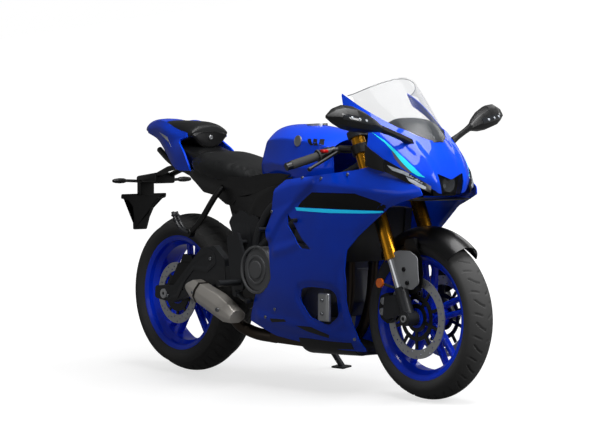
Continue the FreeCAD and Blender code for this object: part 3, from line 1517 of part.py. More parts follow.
def make_chain():
    """The drive chain as one fixed loop of links with rollers, set on its two sprockets."""
    front = V(spot(*front_sprocket_share).x, chain_line, spot(*front_sprocket_share).z)
    rear = rear_axle + Y * chain_line
    big = pitch_radius(sprocket_teeth)
    small = pitch_radius(front_sprocket_teeth)
    across = front - rear
    distance = across.Length
    tilt = math.degrees(math.atan2(across.z, across.x))
    turn = math.degrees(math.asin((big - small) / distance))
    up = tilt + 90 - turn
    down = tilt - 90 + turn

    def on_circle(centre, radius, angle):
        return centre + V(cos(angle) * radius, 0, sin(angle) * radius)

    def band(offset):
        edges = [
            Part.LineSegment(on_circle(rear, big + offset, up),
                             on_circle(front, small + offset, up)).toShape(),
            Part.Arc(on_circle(front, small + offset, up), on_circle(front, small + offset, tilt),
                     on_circle(front, small + offset, down)).toShape(),
            Part.LineSegment(on_circle(front, small + offset, down),
                             on_circle(rear, big + offset, down)).toShape(),
            Part.Arc(on_circle(rear, big + offset, down), on_circle(rear, big + offset, tilt + 180),
                     on_circle(rear, big + offset, up)).toShape(),
        ]
        return Part.Wire(edges)

    plates = []
    for side in (-1, 1):
        outer = Part.Face(band(link_height / 2)).extrude(Y * link_thickness)
        inner = Part.Face(band(-link_height / 2)).extrude(Y * link_thickness * 3)
        inner.translate(Y * -link_thickness)
        loop = outer.cut(inner)
        loop.translate(Y * (side * (link_gap / 2 + link_thickness / 2) - link_thickness / 2))
        plates.append(loop)
    core = Part.Face(band(roller_radius)).extrude(Y * link_gap)
    hollow = Part.Face(band(-roller_radius)).extrude(Y * link_gap * 3)
    hollow.translate(Y * -link_gap)
    core = core.cut(hollow)
    core.translate(Y * -link_gap / 2)
    drive = ring(front - Y * (sprocket_thickness / 2), front + Y * (sprocket_thickness / 2),
                 small - roller_radius - panel_gap, shaft_radius)
    return {"drive_chain": [fuse(plates + [core])], "drive_sprocket": [drive]}


def make_radiator(frame):
    """The radiator behind the front wheel, with side tanks and a fan shroud."""
    centre = spot(*radiator_share)
    core = Part.makeBox(radiator_depth, radiator_half * 2, radiator_tall,
                        V(-radiator_depth / 2, -radiator_half, -radiator_tall / 2))
    tanks = []
    for side in (-1, 1):
        low = V(-radiator_depth * 0.8, side * radiator_half, -radiator_tall / 2 * 0.96)
        box = Part.makeBox(radiator_depth * 1.6, radiator_depth, radiator_tall * 0.96, low)
        if side < 0:
            box.translate(V(0, -radiator_depth, 0))
        tanks.append(box)
    shape = fuse([core] + tanks)
    shape.rotate(ORIGIN, Y, radiator_tilt)
    shape.translate(centre)
    tabs = []
    for side in (-1, 1):
        a, c, d = radiator_tab_share
        foot = spot(a, side * c, d)
        tabs.append(cylinder(foot, foot + Z * radiator_tab_length, post_radius))
    return [largest(fuse([shape] + tabs).cut(frame))]


# Bodywork

def make_side_fairings():
    """The big side panels: one smooth skin each, cut to the outline and to its openings."""
    rows = [[V(wheelbase * a, half_width * b, height * c) for b, c in zip(row, fairing_up_shares)]
            for a, row in zip(fairing_along_shares, fairing_across_shares)]
    skin = skin_between(rows, shifted(rows, -shell))
    if skin.BoundBox.YMax > max(point.y for row in rows for point in row) + shell / 2:
        skin = skin_between(rows, shifted(rows, shell))
    low = min(point.y for row in rows for point in row) - overrun * 3
    high = half_width
    outline = panel(fairing_outline_shares, low, high)
    left = skin.common(outline)
    for table in (slash_duct_shares, engine_window_shares):
        left = left.cut(panel(table, low, high, opening_corner))
    return [largest(left)]


def make_nose():
    """The nose cowl, wrapped from ear to ear, with the lamp opening in its middle."""
    skin = patch(nose_shares, -shell).common(panel(nose_outline_shares, -half_width, half_width, 0))
    opening_points = [V(wheelbase * 0.9, half_width * b, height * c) for b, c in lamp_opening_shares]
    mirrored = [V(p.x, -p.y, p.z) for p in reversed(opening_points)]
    opening = plate(opening_points + mirrored, lamp_corner, X * (wheelbase * 0.3))
    return [largest(skin.cut(opening))]


def make_screen(nose):
    return [largest(patch(screen_shares, -screen_thickness).cut(nose))]


def make_headlamp(nose):
    """The lamp housing behind the nose opening with a round projector lens."""
    points = [V(wheelbase * 0.9, half_width * b, height * c) for b, c in lamp_body_shares]
    mirrored = [V(p.x, -p.y, p.z) for p in reversed(points)]
    start = spot(*lamp_back_share)
    outline = [V(start.x, p.y, p.z) for p in points + mirrored]
    body = plate(outline, lamp_corner, X * lamp_depth)
    lens_centre = spot(*lens_share)
    lens = cylinder(lens_centre, lens_centre + X * lens_depth, lens_radius)
    pegs = []
    for side in (-1, 1):
        a, b, c = lamp_peg_share
        d, e, f = lamp_peg_tip_share
        pegs.append(cylinder(spot(a, side * b, c), spot(d, side * e, f), stay_tube_radius))
    body = fuse([body] + pegs).cut(lens).cut(nose)
    return {"headlamp": [largest(body)], "headlamp_lens": [lens]}


def make_position_lamps(skins):
    left = side_patch(position_lamp_shares, shell)
    for skin in skins:
        left = left.cut(skin)
    return both(largest(left))


def make_cowl_panels(nose):
    return both(largest(side_patch(cowl_panel_shares, shell).cut(nose)))


def make_fairing_stay(skins):
    """The tubular stay ahead of the head tube that carries the cowl, lamp, mirrors and panels."""
    beam = cylinder(on_axis(stay_root_share * height), spot(*stay_front_share), stay_radius)
    solids = [beam]
    for table in stay_cross_shares:
        a, b, c = table
        solids.append(cylinder(spot(a, -b, c), spot(a, b, c), stay_tube_radius))
    for table in stay_upright_shares:
        solids.append(tube(spots(table), stay_tube_radius))
    body = fuse(solids)
    for skin in skins:
        body = body.cut(skin)
    return [largest(body)]


def make_panel_stays(frame, fairing):
    """Pegs that hold each side panel off the frame's spars."""
    pegs = []
    for a, low, high, c in panel_stay_shares:
        peg = cylinder(spot(a, low, c), spot(a, high, c), stay_tube_radius)
        pegs.append(min(peg.cut(frame).cut(fairing).Solids, key=lambda solid: abs(solid.CenterOfMass.y)))
    return pegs + [peg.mirror(ORIGIN, Y) for peg in pegs]


def make_chin(fairings):
    """The dark plate under the nose."""
    points = [spot(a, b, c) for a, b, c in chin_shares]
    mirrored = [V(p.x, -p.y, p.z) for p in reversed(points) if p.y]
    plan = [V(p.x, p.y, 0) for p in points + mirrored]
    sheet = plate(plan, 0, Z * shell)
    sheet.translate(Z * spot(*chin_shares[0]).z)
    return [largest(sheet.cut(fairings))]


def make_mirrors(nose):
    """Mirror arms from the nose and the shells with their glass at the back."""
    shells = []
    glasses = []
    for side in (-1, 1):
        points = [spot(a, side * b, c) for a, b, c in mirror_arm_shares]
        arm = tube(points, mirror_arm_radius)
        wires = []
        for centre, wide, tall in mirror_body_shares:
            middle = spot(centre[0], side * centre[1], centre[2])
            corners = []
            for a, b in ((1, 0.3), (0.3, 1), (-0.9, 0.8), (-1, -0.8), (0.4, -0.9)):
                corners.append(middle + X * a * wide * half_width + Z * b * tall * height)
            wires.append(rounded(corners, mirror_corner))
        body = Part.makeLoft(wires, True, True)
        shells.append(largest(fuse([arm, body]).cut(nose)))
    return {"mirrors": shells}


def make_tank(frame):
    """The fuel tank with the filler neck sunk in its top."""
    body = hull(tank_shares)
    neck_top = spot(*filler_share)
    tilt_way = V(sin(filler_tilt), 0, cos(filler_tilt))
    recess = cylinder(neck_top - tilt_way * lid_thickness, neck_top + tilt_way * half_width / 5,
                      lid_radius + moving_gap)
    neck = cylinder(neck_top - tilt_way * neck_depth, neck_top + tilt_way * overrun, neck_radius)
    body = body.cut(recess).cut(neck).cut(frame)
    hinge = lid_hinge_place()
    pocket = cylinder(hinge - Y * lid_knuckle_half * 2, hinge + Y * lid_knuckle_half * 2,
                      lid_knuckle_radius * 2 + lid_arm_depth)
    pin = cylinder(hinge - Y * lid_pin_half, hinge + Y * lid_pin_half, lid_pin_radius)
    body = largest(fuse([largest(body.cut(pocket)), pin]))
    lid = cylinder(neck_top - tilt_way * (lid_thickness - seat_gap), neck_top, lid_radius)
    knuckle = cylinder(hinge - Y * lid_knuckle_half, hinge + Y * lid_knuckle_half, lid_knuckle_radius)
    arm = block(hinge - X * lid_knuckle_radius * 2 - Y * lid_knuckle_half - Z * lid_arm_depth,
                hinge + Y * lid_knuckle_half)
    lid = fuse([lid, knuckle, arm])
    lid = lid.cut(cylinder(hinge - Y * lid_pin_half * 2, hinge + Y * lid_pin_half * 2, lid_pin_radius + seat_gap))
    return {"fuel_tank": [body], "filler_lid": [largest(lid)]}


def make_tail(subframe):
    """Seats and tail cowl, each cut back to the one under it."""
    pillion = hull(pillion_seat_shares)
    rider = largest(hull(rider_seat_shares).cut(pillion).cut(subframe))
    tray = largest(hull(tail_tray_shares).cut(rider).cut(pillion).cut(subframe))
    collar = largest(hull(tail_collar_shares).cut(rider).cut(pillion).cut(tray))
    vent = panel(tail_vent_shares, 0, half_width, vent_corner)
    bridge = largest(hull(tail_bridge_shares).cut(tray).cut(pillion))
    wing = side_patch(tail_wing_shares, wing_depth).cut(vent)
    for piece in (tray, pillion, rider, bridge):
        wing = wing.cut(piece)
    return {"rider_seat": [rider], "pillion_seat": [pillion], "tail_tray": [tray],
            "tail_cowl": [bridge, collar] + both(largest(wing))}


def make_belly(fairings):
    """The lower pan that closes the fairings under the engine."""
    return [largest(hull_shell(belly_shares, shell).cut(fairings))]


def hull_shell(shares, wall):
    """A lofted trough of one wall, open at the top."""
    outer = hull(shares)
    inner = hull([(a, [(b - wall / half_width if b else b, c + wall / height) for b, c in half])
                  for a, half in shares])
    return largest(outer.cut(inner))


def make_side_covers(others):
    upper = panel(side_cover_shares, side_cover_low, side_cover_high, cover_corner)
    lower = panel(lower_cover_shares, lower_cover_low, lower_cover_high, cover_corner)
    seat_side = side_patch(seat_panel_shares, shell)
    pieces = []
    for piece in (upper, lower, seat_side):
        for solid in others + pieces:
            piece = piece.cut(solid)
        pieces.append(largest(piece))
    return [solid for piece in pieces for solid in both(piece)]


def make_licence_bracket(tail, subframe):
    """The arm under the tail with the blank plate holder."""
    arm = panel(licence_arm_shares, -licence_arm_half, licence_arm_half, arm_corner / 2)
    holder = panel(licence_plate_shares, -licence_plate_half, licence_plate_half, 0)
    return [largest(fuse([arm, holder]).cut(tail).cut(subframe))]


def make_indicators(bracket):
    solids = []
    for side in (-1, 1):
        stalk = cylinder(spot(*indicator_stalk_share[:1], side * indicator_stalk_share[1],
                              indicator_stalk_share[2]),
                         spot(indicator_tip_share[0], side * indicator_tip_share[1],
                              indicator_tip_share[2]), indicator_stalk_radius)
        tip = spot(indicator_tip_share[0], side * indicator_tip_share[1], indicator_tip_share[2])
        lamp = Part.makeSphere(indicator_radius, tip)
        solids.append(fuse([stalk, lamp]).cut(bracket))
    return solids


def make_rearsets():
    """Rider's foot rests on their brackets, with the brake pedal and the shift lever."""
    solids = []
    for side in (-1, 1):
        bracket = panel(rearset_shares, 0, rearset_thickness, plate_corner)
        bracket.translate(V(0, side * rearset_across - rearset_thickness / 2, 0))
        peg_at = spot(rider_peg_share[0], 0, rider_peg_share[1])
        peg = cylinder(peg_at + Y * side * rearset_across, peg_at + Y * side * rider_peg_reach, peg_radius)
        lever = tube([spot(a, 0, c) + Y * side * (rearset_across + pedal_offset)
                      for a, c in pedal_shares], pedal_radius)
        toe_at = spot(pedal_shares[-1][0], 0, pedal_shares[-1][1])
        toe = cylinder(toe_at + Y * side * (rearset_across + pedal_offset),
                       toe_at + Y * side * (rearset_across + pedal_offset + toe_length), pedal_radius * 1.4)
        pivot = spot(pedal_shares[0][0], 0, pedal_shares[0][1])
        boss = cylinder(pivot + Y * side * rearset_across,
                        pivot + Y * side * (rearset_across + pedal_offset + pedal_radius * 1.5), pedal_radius * 2)
        posts = []
        for a, c in rearset_post_shares:
            post_at = spot(a, 0, c)
            posts.append(cylinder(post_at + Y * side * crankcase_half, post_at + Y * side * rearset_across,
                                  post_radius))
        solids.append(fuse([bracket, peg, lever, toe, boss] + posts))
    return solids


def make_pillion_pegs(subframe):
    solids = []
    for side in (-1, 1):
        arms = []
        for table in pillion_bracket_shares:
            arms.append(tube([spot(a, side * b, c) for a, b, c in table], pillion_bracket_radius))
        foot = spot(pillion_peg_share[0], side * pillion_peg_share[1], pillion_peg_share[2])
        peg = cylinder(foot, foot + Y * side * pillion_peg_length, peg_radius)
        solids.append(largest(fuse(arms + [peg]).cut(subframe)))
    return solids


stand_axis = V(0, cos(stand_axis_tilt), sin(stand_axis_tilt))


def make_side_stand():
    """The side stand's leg with a flat foot that lies in the floor when the bike leans."""
    pivot = spot(*stand_pivot_share)
    foot = spot(*stand_foot_share)
    leg = cylinder(pivot, foot, stand_radius)
    boss = cylinder(pivot - stand_axis * stand_radius, pivot + stand_axis * stand_radius, stand_boss_radius)
    pad = Part.makeBox(stand_pad_length, stand_pad_width, stand_pad_height,
                       V(-stand_pad_length / 2, -stand_pad_width / 2, 0))
    pad.rotate(ORIGIN, X, lean)
    pad.translate(V(foot.x, foot.y, floor_at(foot.y)))
    reach = foot - pivot
    shoe = cylinder(pivot, pivot + reach * (1 + stand_radius / reach.Length), stand_radius)
    below = Part.makeBox(half_width, half_width, half_width, V(-half_width / 2, -half_width / 2, -half_width))
    below.rotate(ORIGIN, X, lean)
    below.translate(V(foot.x, foot.y, floor_at(foot.y)))
    return [fuse([leg, shoe, boss, pad]).cut(below)]


def floor_at(across):
    """The height of the leaned floor in the upright drawing, at one distance across."""
    return front_crown - front_crown / cos(lean) + across * math.tan(math.radians(lean))


def make_stand_bracket(engine):
    """The lug on the frame's left plate that the stand turns in."""
    pivot = spot(*stand_pivot_share)
    inner = pivot_plate_across + plate_thickness / 2
    start = pivot - stand_axis * (stand_radius + seat_gap)
    lug = cylinder(start - stand_axis * stand_lug_length, start, stand_boss_radius)
    web = panel(stand_bracket_shares, inner, inner + stand_bracket_thickness, plate_corner)
    body = fuse([lug, web])
    return [largest(body.cut(block(V(0, 0, 0), V(wheelbase, inner, height))).cut(engine))]


def lid_hinge_place():
    """The filler lid's hinge, at the front of its recess."""
    return spot(*filler_share) + X * (lid_radius + lid_knuckle_radius) - Z * lid_knuckle_radius


# Assembly

def upright_nodes():
    """Every node's solids in the upright drawing."""
    nodes = {}
    nodes.update(make_front_end())
    nodes.update(make_front_wheel())
    nodes.update(make_rear_wheel())
    nodes["main_frame"] = make_main_frame()
    frame = nodes["main_frame"][0]
    nodes["subframe"] = make_subframe(frame)
    subframe = nodes["subframe"][0]
    nodes["swingarm"] = make_swingarm()
    nodes["rear_axle"] = make_rear_axle() + make_rear_spacers()
    nodes["rear_caliper"] = make_rear_caliper()
    nodes["shock"] = make_shock(frame, nodes["swingarm"][0])
    nodes.update(make_engine(frame))
    engine = nodes["engine"][0]
    nodes.update(make_exhaust(engine))
    nodes.update(make_chain())
    nodes["radiator"] = make_radiator(frame)
    left = make_side_fairings()[0]
    nodes["side_fairings"] = both(left)
    fairings = Part.makeCompound(nodes["side_fairings"])
    nodes["engine_covers"] = [largest(cover.cut(fairings)) for cover in nodes["engine_covers"]]
    nodes["nose_cowl"] = make_nose()
    nose = nodes["nose_cowl"][0]
    nodes["windscreen"] = make_screen(nose)
    nodes.update(make_headlamp(nose))
    nodes["position_lamps"] = make_position_lamps([left, nose])
    nodes["cowl_panels"] = make_cowl_panels(nose)
    nodes["chin_plate"] = make_chin(fairings)
    nodes.update(make_mirrors(nose))
    skins = [frame, nose, fairings, nodes["headlamp"][0]] + nodes["mirrors"]
    nodes["fairing_stay"] = make_fairing_stay(skins) + make_panel_stays(frame, left)
    nodes.update(make_tank(frame))
    nodes.update(make_tail(subframe))
    tail = Part.makeCompound(nodes["tail_cowl"] + nodes["tail_tray"])
    nodes["belly_pan"] = make_belly(fairings)
    nodes["pillion_pegs"] = make_pillion_pegs(subframe)
    nodes["side_covers"] = make_side_covers([nodes["fuel_tank"][0], nodes["rider_seat"][0], subframe, tail,
                                            frame, left] + nodes["pillion_pegs"])
    nodes["licence_bracket"] = make_licence_bracket(tail, subframe)
    nodes["rear_indicators"] = make_indicators(nodes["licence_bracket"][0])
    nodes["rearsets"] = make_rearsets()
    nodes["side_stand"] = make_side_stand()
    nodes["stand_bracket"] = make_stand_bracket(engine)
    return nodes


def park(shape):
    """Lean a shape onto the stand, then bring the floor to height zero."""
    moved = shape.copy()
    moved.rotate(ORIGIN, X, -lean)
    moved.translate(Z * (front_crown * (1 - cos(lean))))
    return moved


def parked_nodes():
    """Every node as one leaned shape, with the origin under the middle of the bike."""
    parked = {}
    extent = FreeCAD.BoundBox()
    for name, solids in upright_nodes().items():
        shape = park(Part.makeCompound(solids) if len(solids) > 1 else solids[0])
        parked[name] = shape
        extent.add(shape.optimalBoundingBox(False, False))
    offset = V(-extent.Center.x, -extent.Center.y, 0)
    for shape in parked.values():
        shape.translate(offset)
    return parked


def main():
    os.makedirs("parts", exist_ok=True)
    for name, shape in parked_nodes().items():
        shape.exportStep("parts/" + name + ".step")


main()
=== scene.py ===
"""Looks of a fully faired sport motorcycle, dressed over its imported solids.

Places are given on the upright motorcycle in millimetres, from the floor under the rear axle,
+X forward, +Y to the rider's left, and are turned into the leaning, parked frame in metres.
"""

import json
import logging
import math
from collections.abc import Callable, Sequence
from dataclasses import dataclass
from enum import Enum

import bmesh
import bpy
from mathutils import Matrix, Vector
from mathutils.bvhtree import BVHTree

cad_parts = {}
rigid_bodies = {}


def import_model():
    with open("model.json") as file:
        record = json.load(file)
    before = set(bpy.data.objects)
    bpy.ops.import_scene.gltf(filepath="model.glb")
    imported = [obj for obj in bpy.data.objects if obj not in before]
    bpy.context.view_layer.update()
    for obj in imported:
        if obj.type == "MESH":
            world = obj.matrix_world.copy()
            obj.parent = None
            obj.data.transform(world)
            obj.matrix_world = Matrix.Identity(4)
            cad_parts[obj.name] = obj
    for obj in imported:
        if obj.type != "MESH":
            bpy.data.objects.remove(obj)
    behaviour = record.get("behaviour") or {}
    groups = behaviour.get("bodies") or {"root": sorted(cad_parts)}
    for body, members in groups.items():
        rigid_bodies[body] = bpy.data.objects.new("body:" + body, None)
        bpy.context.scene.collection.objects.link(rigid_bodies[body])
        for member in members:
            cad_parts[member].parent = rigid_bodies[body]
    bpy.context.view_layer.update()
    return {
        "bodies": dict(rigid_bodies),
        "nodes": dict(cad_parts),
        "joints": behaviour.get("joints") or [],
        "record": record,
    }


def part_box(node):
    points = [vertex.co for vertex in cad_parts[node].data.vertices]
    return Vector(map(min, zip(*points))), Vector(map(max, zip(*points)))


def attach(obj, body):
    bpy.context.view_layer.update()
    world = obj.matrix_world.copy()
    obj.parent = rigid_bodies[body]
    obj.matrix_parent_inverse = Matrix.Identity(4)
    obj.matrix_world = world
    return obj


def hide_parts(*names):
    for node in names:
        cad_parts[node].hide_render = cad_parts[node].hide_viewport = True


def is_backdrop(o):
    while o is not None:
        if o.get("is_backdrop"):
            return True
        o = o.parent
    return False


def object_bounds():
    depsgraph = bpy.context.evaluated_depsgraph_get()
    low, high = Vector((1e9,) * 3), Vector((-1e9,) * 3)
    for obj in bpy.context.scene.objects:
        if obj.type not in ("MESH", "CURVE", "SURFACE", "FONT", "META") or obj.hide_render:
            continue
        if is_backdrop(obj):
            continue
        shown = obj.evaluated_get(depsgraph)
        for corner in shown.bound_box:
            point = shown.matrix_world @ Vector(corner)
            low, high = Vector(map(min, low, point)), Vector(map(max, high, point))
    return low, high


# A place or a way in space, a point of the side view, a line through such points, and the rows of a skin.
Spot = tuple[float, float, float]
Flat = tuple[float, float]
Outline = tuple[Flat, ...]
Table = tuple[tuple[Spot, ...], ...]
Piece = bpy.types.Object

LOG = logging.getLogger("sport_motorcycle")
# Metres in a millimetre.
MM = 0.001
# The gap in millimetres over which the seam of a skin of rings is merged.
SEAM = 0.01
# How far beside the bike's middle a ray starts that looks for a panel.
BESIDE = 500.0
# The front axle on the upright bike.
FRONT_AXLE: Spot = (1395.0, 0.0, 300.0)


@dataclass(frozen=True)
class ParkedFrame:
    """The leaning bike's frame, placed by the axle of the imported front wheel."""

    lean_deg: float = 8.0
    front_axle_mm: Spot = FRONT_AXLE

    def matrix(self) -> Matrix:
        """Gives the matrix from upright millimetres to the parked frame in metres.

        Returns:
            A 4 by 4 matrix: scale to metres, lean to the left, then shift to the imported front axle.
        """
        low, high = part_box("front_rim")
        turn = Matrix.Rotation(math.radians(-self.lean_deg), 4, "X")
        scaled = turn @ Matrix.Scale(MM, 4)
        shift = (low + high) / 2 - scaled @ Vector(self.front_axle_mm)
        return Matrix.Translation(shift) @ scaled


def tint(code: str) -> tuple[float, float, float, float]:
    """Turns an sRGB hex colour into the linear colour that shaders take.

    Args:
        code: A hash and six hex digits.

    Returns:
        Linear red, green, blue and alpha.
    """
    digits = code.lstrip("#")
    parts = [int(digits[i:i + 2], 16) / 255 for i in (0, 2, 4)]
    linear = [p / 12.92 if p <= 0.04045 else ((p + 0.055) / 1.055) ** 2.4 for p in parts]
    return (*linear, 1.0)


def add_node(tree: bpy.types.NodeTree, kind: str, settings: dict[str, object] | None = None,
             inputs: dict[str | int, object] | None = None) -> bpy.types.Node:
    """Adds one node with its settings, constant inputs and links.

    Args:
        tree: The node tree.
        kind: The node's type name.
        settings: Properties of the node by name.
        inputs: Input sockets by name or number; an output socket is linked, anything else is its value.

    Returns:
        The new node.
    """
    node = tree.nodes.new(kind)
    for name, value in (settings or {}).items():
        setattr(node, name, value)
    for name, value in (inputs or {}).items():
        socket = node.inputs[name]
        if isinstance(value, bpy.types.NodeSocket):
            tree.links.new(value, socket)
        else:
            socket.default_value = value
    return node


class Grain(Enum):
    """The fine relief that a finish carries."""

    NONE = "none"
    ORANGE_PEEL = "orange peel"
    PEBBLE = "pebble"
    CAST = "cast"
    BRUSHED = "brushed"
    LEATHER = "leather"


@dataclass(frozen=True)
class Finish:
    """One real finish: what it is, its colour and how it throws light back."""

    name: str
    colour: str
    roughness: float
    metallic: float = 0.0
    coat: float = 0.0
    coat_roughness: float = 0.03
    ior: float = 1.5
    grain: Grain = Grain.NONE
    grain_mm: float = 1.0
    relief_mm: float = 0.05
    shade: str | None = None
    shade_mm: float = 60.0
    wear: float = 0.0
    alpha: float = 1.0
    glow: float = 0.0
    specular: float = 0.5

    def make(self) -> bpy.types.Material:
        """Builds the material once and gives it back.

        Returns:
            The material of this finish.
        """
        found = bpy.data.materials.get(self.name)
        if found:
            return found
        material = bpy.data.materials.new(self.name)
        material.use_nodes = True
        tree = material.node_tree
        shader = tree.nodes["Principled BSDF"]
        colour = tint(self.colour)
        for socket, value in (("Base Color", colour), ("Roughness", self.roughness),
                              ("Metallic", self.metallic), ("Coat Weight", self.coat),
                              ("Coat Roughness", self.coat_roughness), ("Alpha", self.alpha),
                              ("Specular IOR Level", self.specular)):
            shader.inputs[socket].default_value = value
        if not self.metallic:
            shader.inputs["IOR"].default_value = self.ior
        # Painted glow: emission that lights a surface which is no lamp.
        if self.glow:
            shader.inputs["Emission Color"].default_value = colour
            shader.inputs["Emission Strength"].default_value = self.glow
        place = add_node(tree, "ShaderNodeTexCoord").outputs["Object"]
        self.add_shade(tree, shader, place)
        self.add_grain(tree, shader, place)
        return material

    def add_shade(self, tree: bpy.types.NodeTree, shader: bpy.types.Node,
                  place: bpy.types.NodeSocket) -> None:
        """Lets the colour and the roughness drift a little over the surface.

        Args:
            tree: The material's nodes.
            shader: The main shader.
            place: Object coordinates.
        """
        cloud = add_node(tree, "ShaderNodeTexNoise", {},
                         {"Vector": place, "Scale": 1 / (self.shade_mm * MM), "Detail": 3.0})
        if self.shade:
            mix = add_node(tree, "ShaderNodeMix", {"data_type": "RGBA"},
                           {0: cloud.outputs["Fac"], 6: tint(self.colour), 7: tint(self.shade)})
            tree.links.new(mix.outputs[2], shader.inputs["Base Color"])
        if self.wear:
            spread = add_node(tree, "ShaderNodeMapRange", {},
                              {"Value": cloud.outputs["Fac"], "From Min": 0.3, "From Max": 0.7,
                               "To Min": max(0.0, self.roughness - self.wear),
                               "To Max": min(1.0, self.roughness + self.wear)})
            tree.links.new(spread.outputs["Result"], shader.inputs["Roughness"])

    def add_grain(self, tree: bpy.types.NodeTree, shader: bpy.types.Node,
                  place: bpy.types.NodeSocket) -> None:
        """Adds the fine relief as bump.

        Args:
            tree: The material's nodes.
            shader: The main shader.
            place: Object coordinates.
        """
        if self.grain is Grain.NONE:
            return
        scale = 1 / (self.grain_mm * MM)
        if self.grain is Grain.LEATHER:
            texture = add_node(tree, "ShaderNodeTexVoronoi", {"feature": "DISTANCE_TO_EDGE"},
                               {"Vector": place, "Scale": scale})
            height = texture.outputs["Distance"]
        elif self.grain is Grain.BRUSHED:
            drawn = add_node(tree, "ShaderNodeMapping", {},
                             {"Vector": place, "Rotation": (0.0, math.radians(-22), 0.0),
                              "Scale": (0.03, 1.0, 1.0)})
            texture = add_node(tree, "ShaderNodeTexNoise", {},
                               {"Vector": drawn.outputs["Vector"], "Scale": scale, "Detail": 4.0})
            height = texture.outputs["Fac"]
        else:
            detail = 5.0 if self.grain is Grain.CAST else 1.0
            texture = add_node(tree, "ShaderNodeTexNoise", {},
                               {"Vector": place, "Scale": scale, "Detail": detail})
            height = texture.outputs["Fac"]
        bump = add_node(tree, "ShaderNodeBump", {},
                        {"Height": height, "Distance": self.relief_mm * MM, "Strength": 1.0})
        tree.links.new(bump.outputs["Normal"], shader.inputs["Normal"])


# Solid blue two-pack enamel under clear lacquer: a mirror-like coat over a deep colour.
BLUE_ENAMEL = Finish("blue_enamel", "#0040dc", 0.4, coat=0.7, coat_roughness=0.02, specular=0.08,
                     shade="#0046e4", grain=Grain.ORANGE_PEEL, grain_mm=6.0, relief_mm=0.006)
# Blue powder coat on cast wheels: the same hue, a little softer in its shine.
BLUE_POWDER = Finish("blue_powder_coat", "#063cf0", 0.34, coat=0.6, coat_roughness=0.08, specular=0.12,
                     shade="#0842f8", grain=Grain.ORANGE_PEEL, grain_mm=2.5, relief_mm=0.012)
# Turquoise vinyl stripe under the lacquer.
CYAN_VINYL = Finish("turquoise_vinyl", "#22e4fa", 0.3, coat=0.9, shade="#2aeaff")
# Sky-blue vinyl of the side lines with a painted glow: emission that keeps them bright on the shaded side.
SIDE_LINE_VINYL = Finish("fluorescent_sky_vinyl", "#00ccff", 0.3, coat=0.9, glow=0.32)
# Pale vinyl of the streaks on the tail wings.
PALE_VINYL = Finish("pale_vinyl", "#dfe3ea", 0.3, coat=0.9, shade="#c9ced8")
# Bronze-grey vinyl that shadows the stripe.
BRONZE_VINYL = Finish("bronze_vinyl", "#5b5566", 0.35, coat=0.9, shade="#625a6a")
# Gloss black vinyl panel.
BLACK_VINYL = Finish("black_vinyl", "#020203", 0.3, coat=0.35, specular=0.1, shade="#040406")
# Moulded black ABS with a fine pebble: dull, breaks the light up.
BLACK_ABS = Finish("moulded_black_abs", "#070708", 0.36, grain=Grain.PEBBLE, grain_mm=1.4, relief_mm=0.03,
                   shade="#0b0c0d", wear=0.06)
# Painted gloss black plastic.
BLACK_GLOSS = Finish("gloss_black_paint", "#030304", 0.34, coat=0.14, specular=0.3, shade="#08080a",
                     grain=Grain.ORANGE_PEEL, grain_mm=5.0, relief_mm=0.006)
# Rubber compound of a road tyre: near black, dusty, no shine.
TYRE_RUBBER = Finish("tyre_rubber", "#141415", 0.68, specular=0.3, shade="#1a1a1a", shade_mm=25.0,
                     wear=0.08, grain=Grain.PEBBLE, grain_mm=1.1, relief_mm=0.03)
# Nitrile grip rubber.
GRIP_RUBBER = Finish("grip_rubber", "#0b0b0c", 0.6, specular=0.3, shade="#151516", grain=Grain.PEBBLE,
                     grain_mm=0.9, relief_mm=0.03)
# Gold anodised aluminium fork tubes, turned and polished.
GOLD_ANODISED = Finish("gold_anodised_aluminium", "#c98a1d", 0.24, metallic=1.0, shade="#d0932a",
                       grain=Grain.ORANGE_PEEL, grain_mm=3.0, relief_mm=0.004, wear=0.04)
# Hard chrome on the sliding tubes.
CHROME = Finish("hard_chrome", "#e4e6ea", 0.06, metallic=1.0, shade="#dcdfe4")
# Dark grey paint on the frame, swingarm and fork feet.
GREY_PAINT = Finish("dark_grey_satin_paint", "#222326", 0.42, coat=0.15, specular=0.35, coat_roughness=0.2,
                    shade="#282a2d", grain=Grain.CAST, grain_mm=3.0, relief_mm=0.03, wear=0.05)
# Sand-cast aluminium with grey paint on the crankcases.
CAST_GREY = Finish("painted_cast_aluminium", "#67686a", 0.44, metallic=0.4, shade="#727375", wear=0.08,
                   grain=Grain.CAST, grain_mm=2.4, relief_mm=0.08)
# Bare cast silver alloy.
SILVER_ALLOY = Finish("bare_cast_alloy", "#a9abae", 0.38, metallic=1.0, shade="#b6b8ba", wear=0.08,
                      grain=Grain.CAST, grain_mm=2.0)
# Brushed stainless steel silencer skin.
BRUSHED_STEEL = Finish("brushed_stainless_steel", "#d8d3cb", 0.4, metallic=0.85, shade="#e2ddd6",
                       shade_mm=90.0, grain=Grain.BRUSHED, grain_mm=0.8, relief_mm=0.02, wear=0.05)
# Ground steel brake faces.
GROUND_STEEL = Finish("ground_steel", "#cdcfd1", 0.34, metallic=0.8, shade="#bdbfc1", shade_mm=30.0,
                      wear=0.07)
# Oiled dark steel of the chain and sprockets.
DARK_STEEL = Finish("oiled_dark_steel", "#3a3733", 0.42, metallic=0.9, shade="#4a4640", shade_mm=20.0,
                    wear=0.1)
# Heat-stained header pipes, dark brown to grey.
HEADER_STEEL = Finish("heat_stained_steel", "#3c3835", 0.38, metallic=0.9, shade="#55493e", shade_mm=70.0,
                      wear=0.1)
# Black paint on the radiator core.
CORE_BLACK = Finish("radiator_core_black", "#0d0e0f", 0.55, shade="#141516")
# Zinc plated bolts.
ZINC = Finish("zinc_plated_bolt", "#8f9296", 0.3, metallic=1.0, shade="#a0a3a7", wear=0.06)
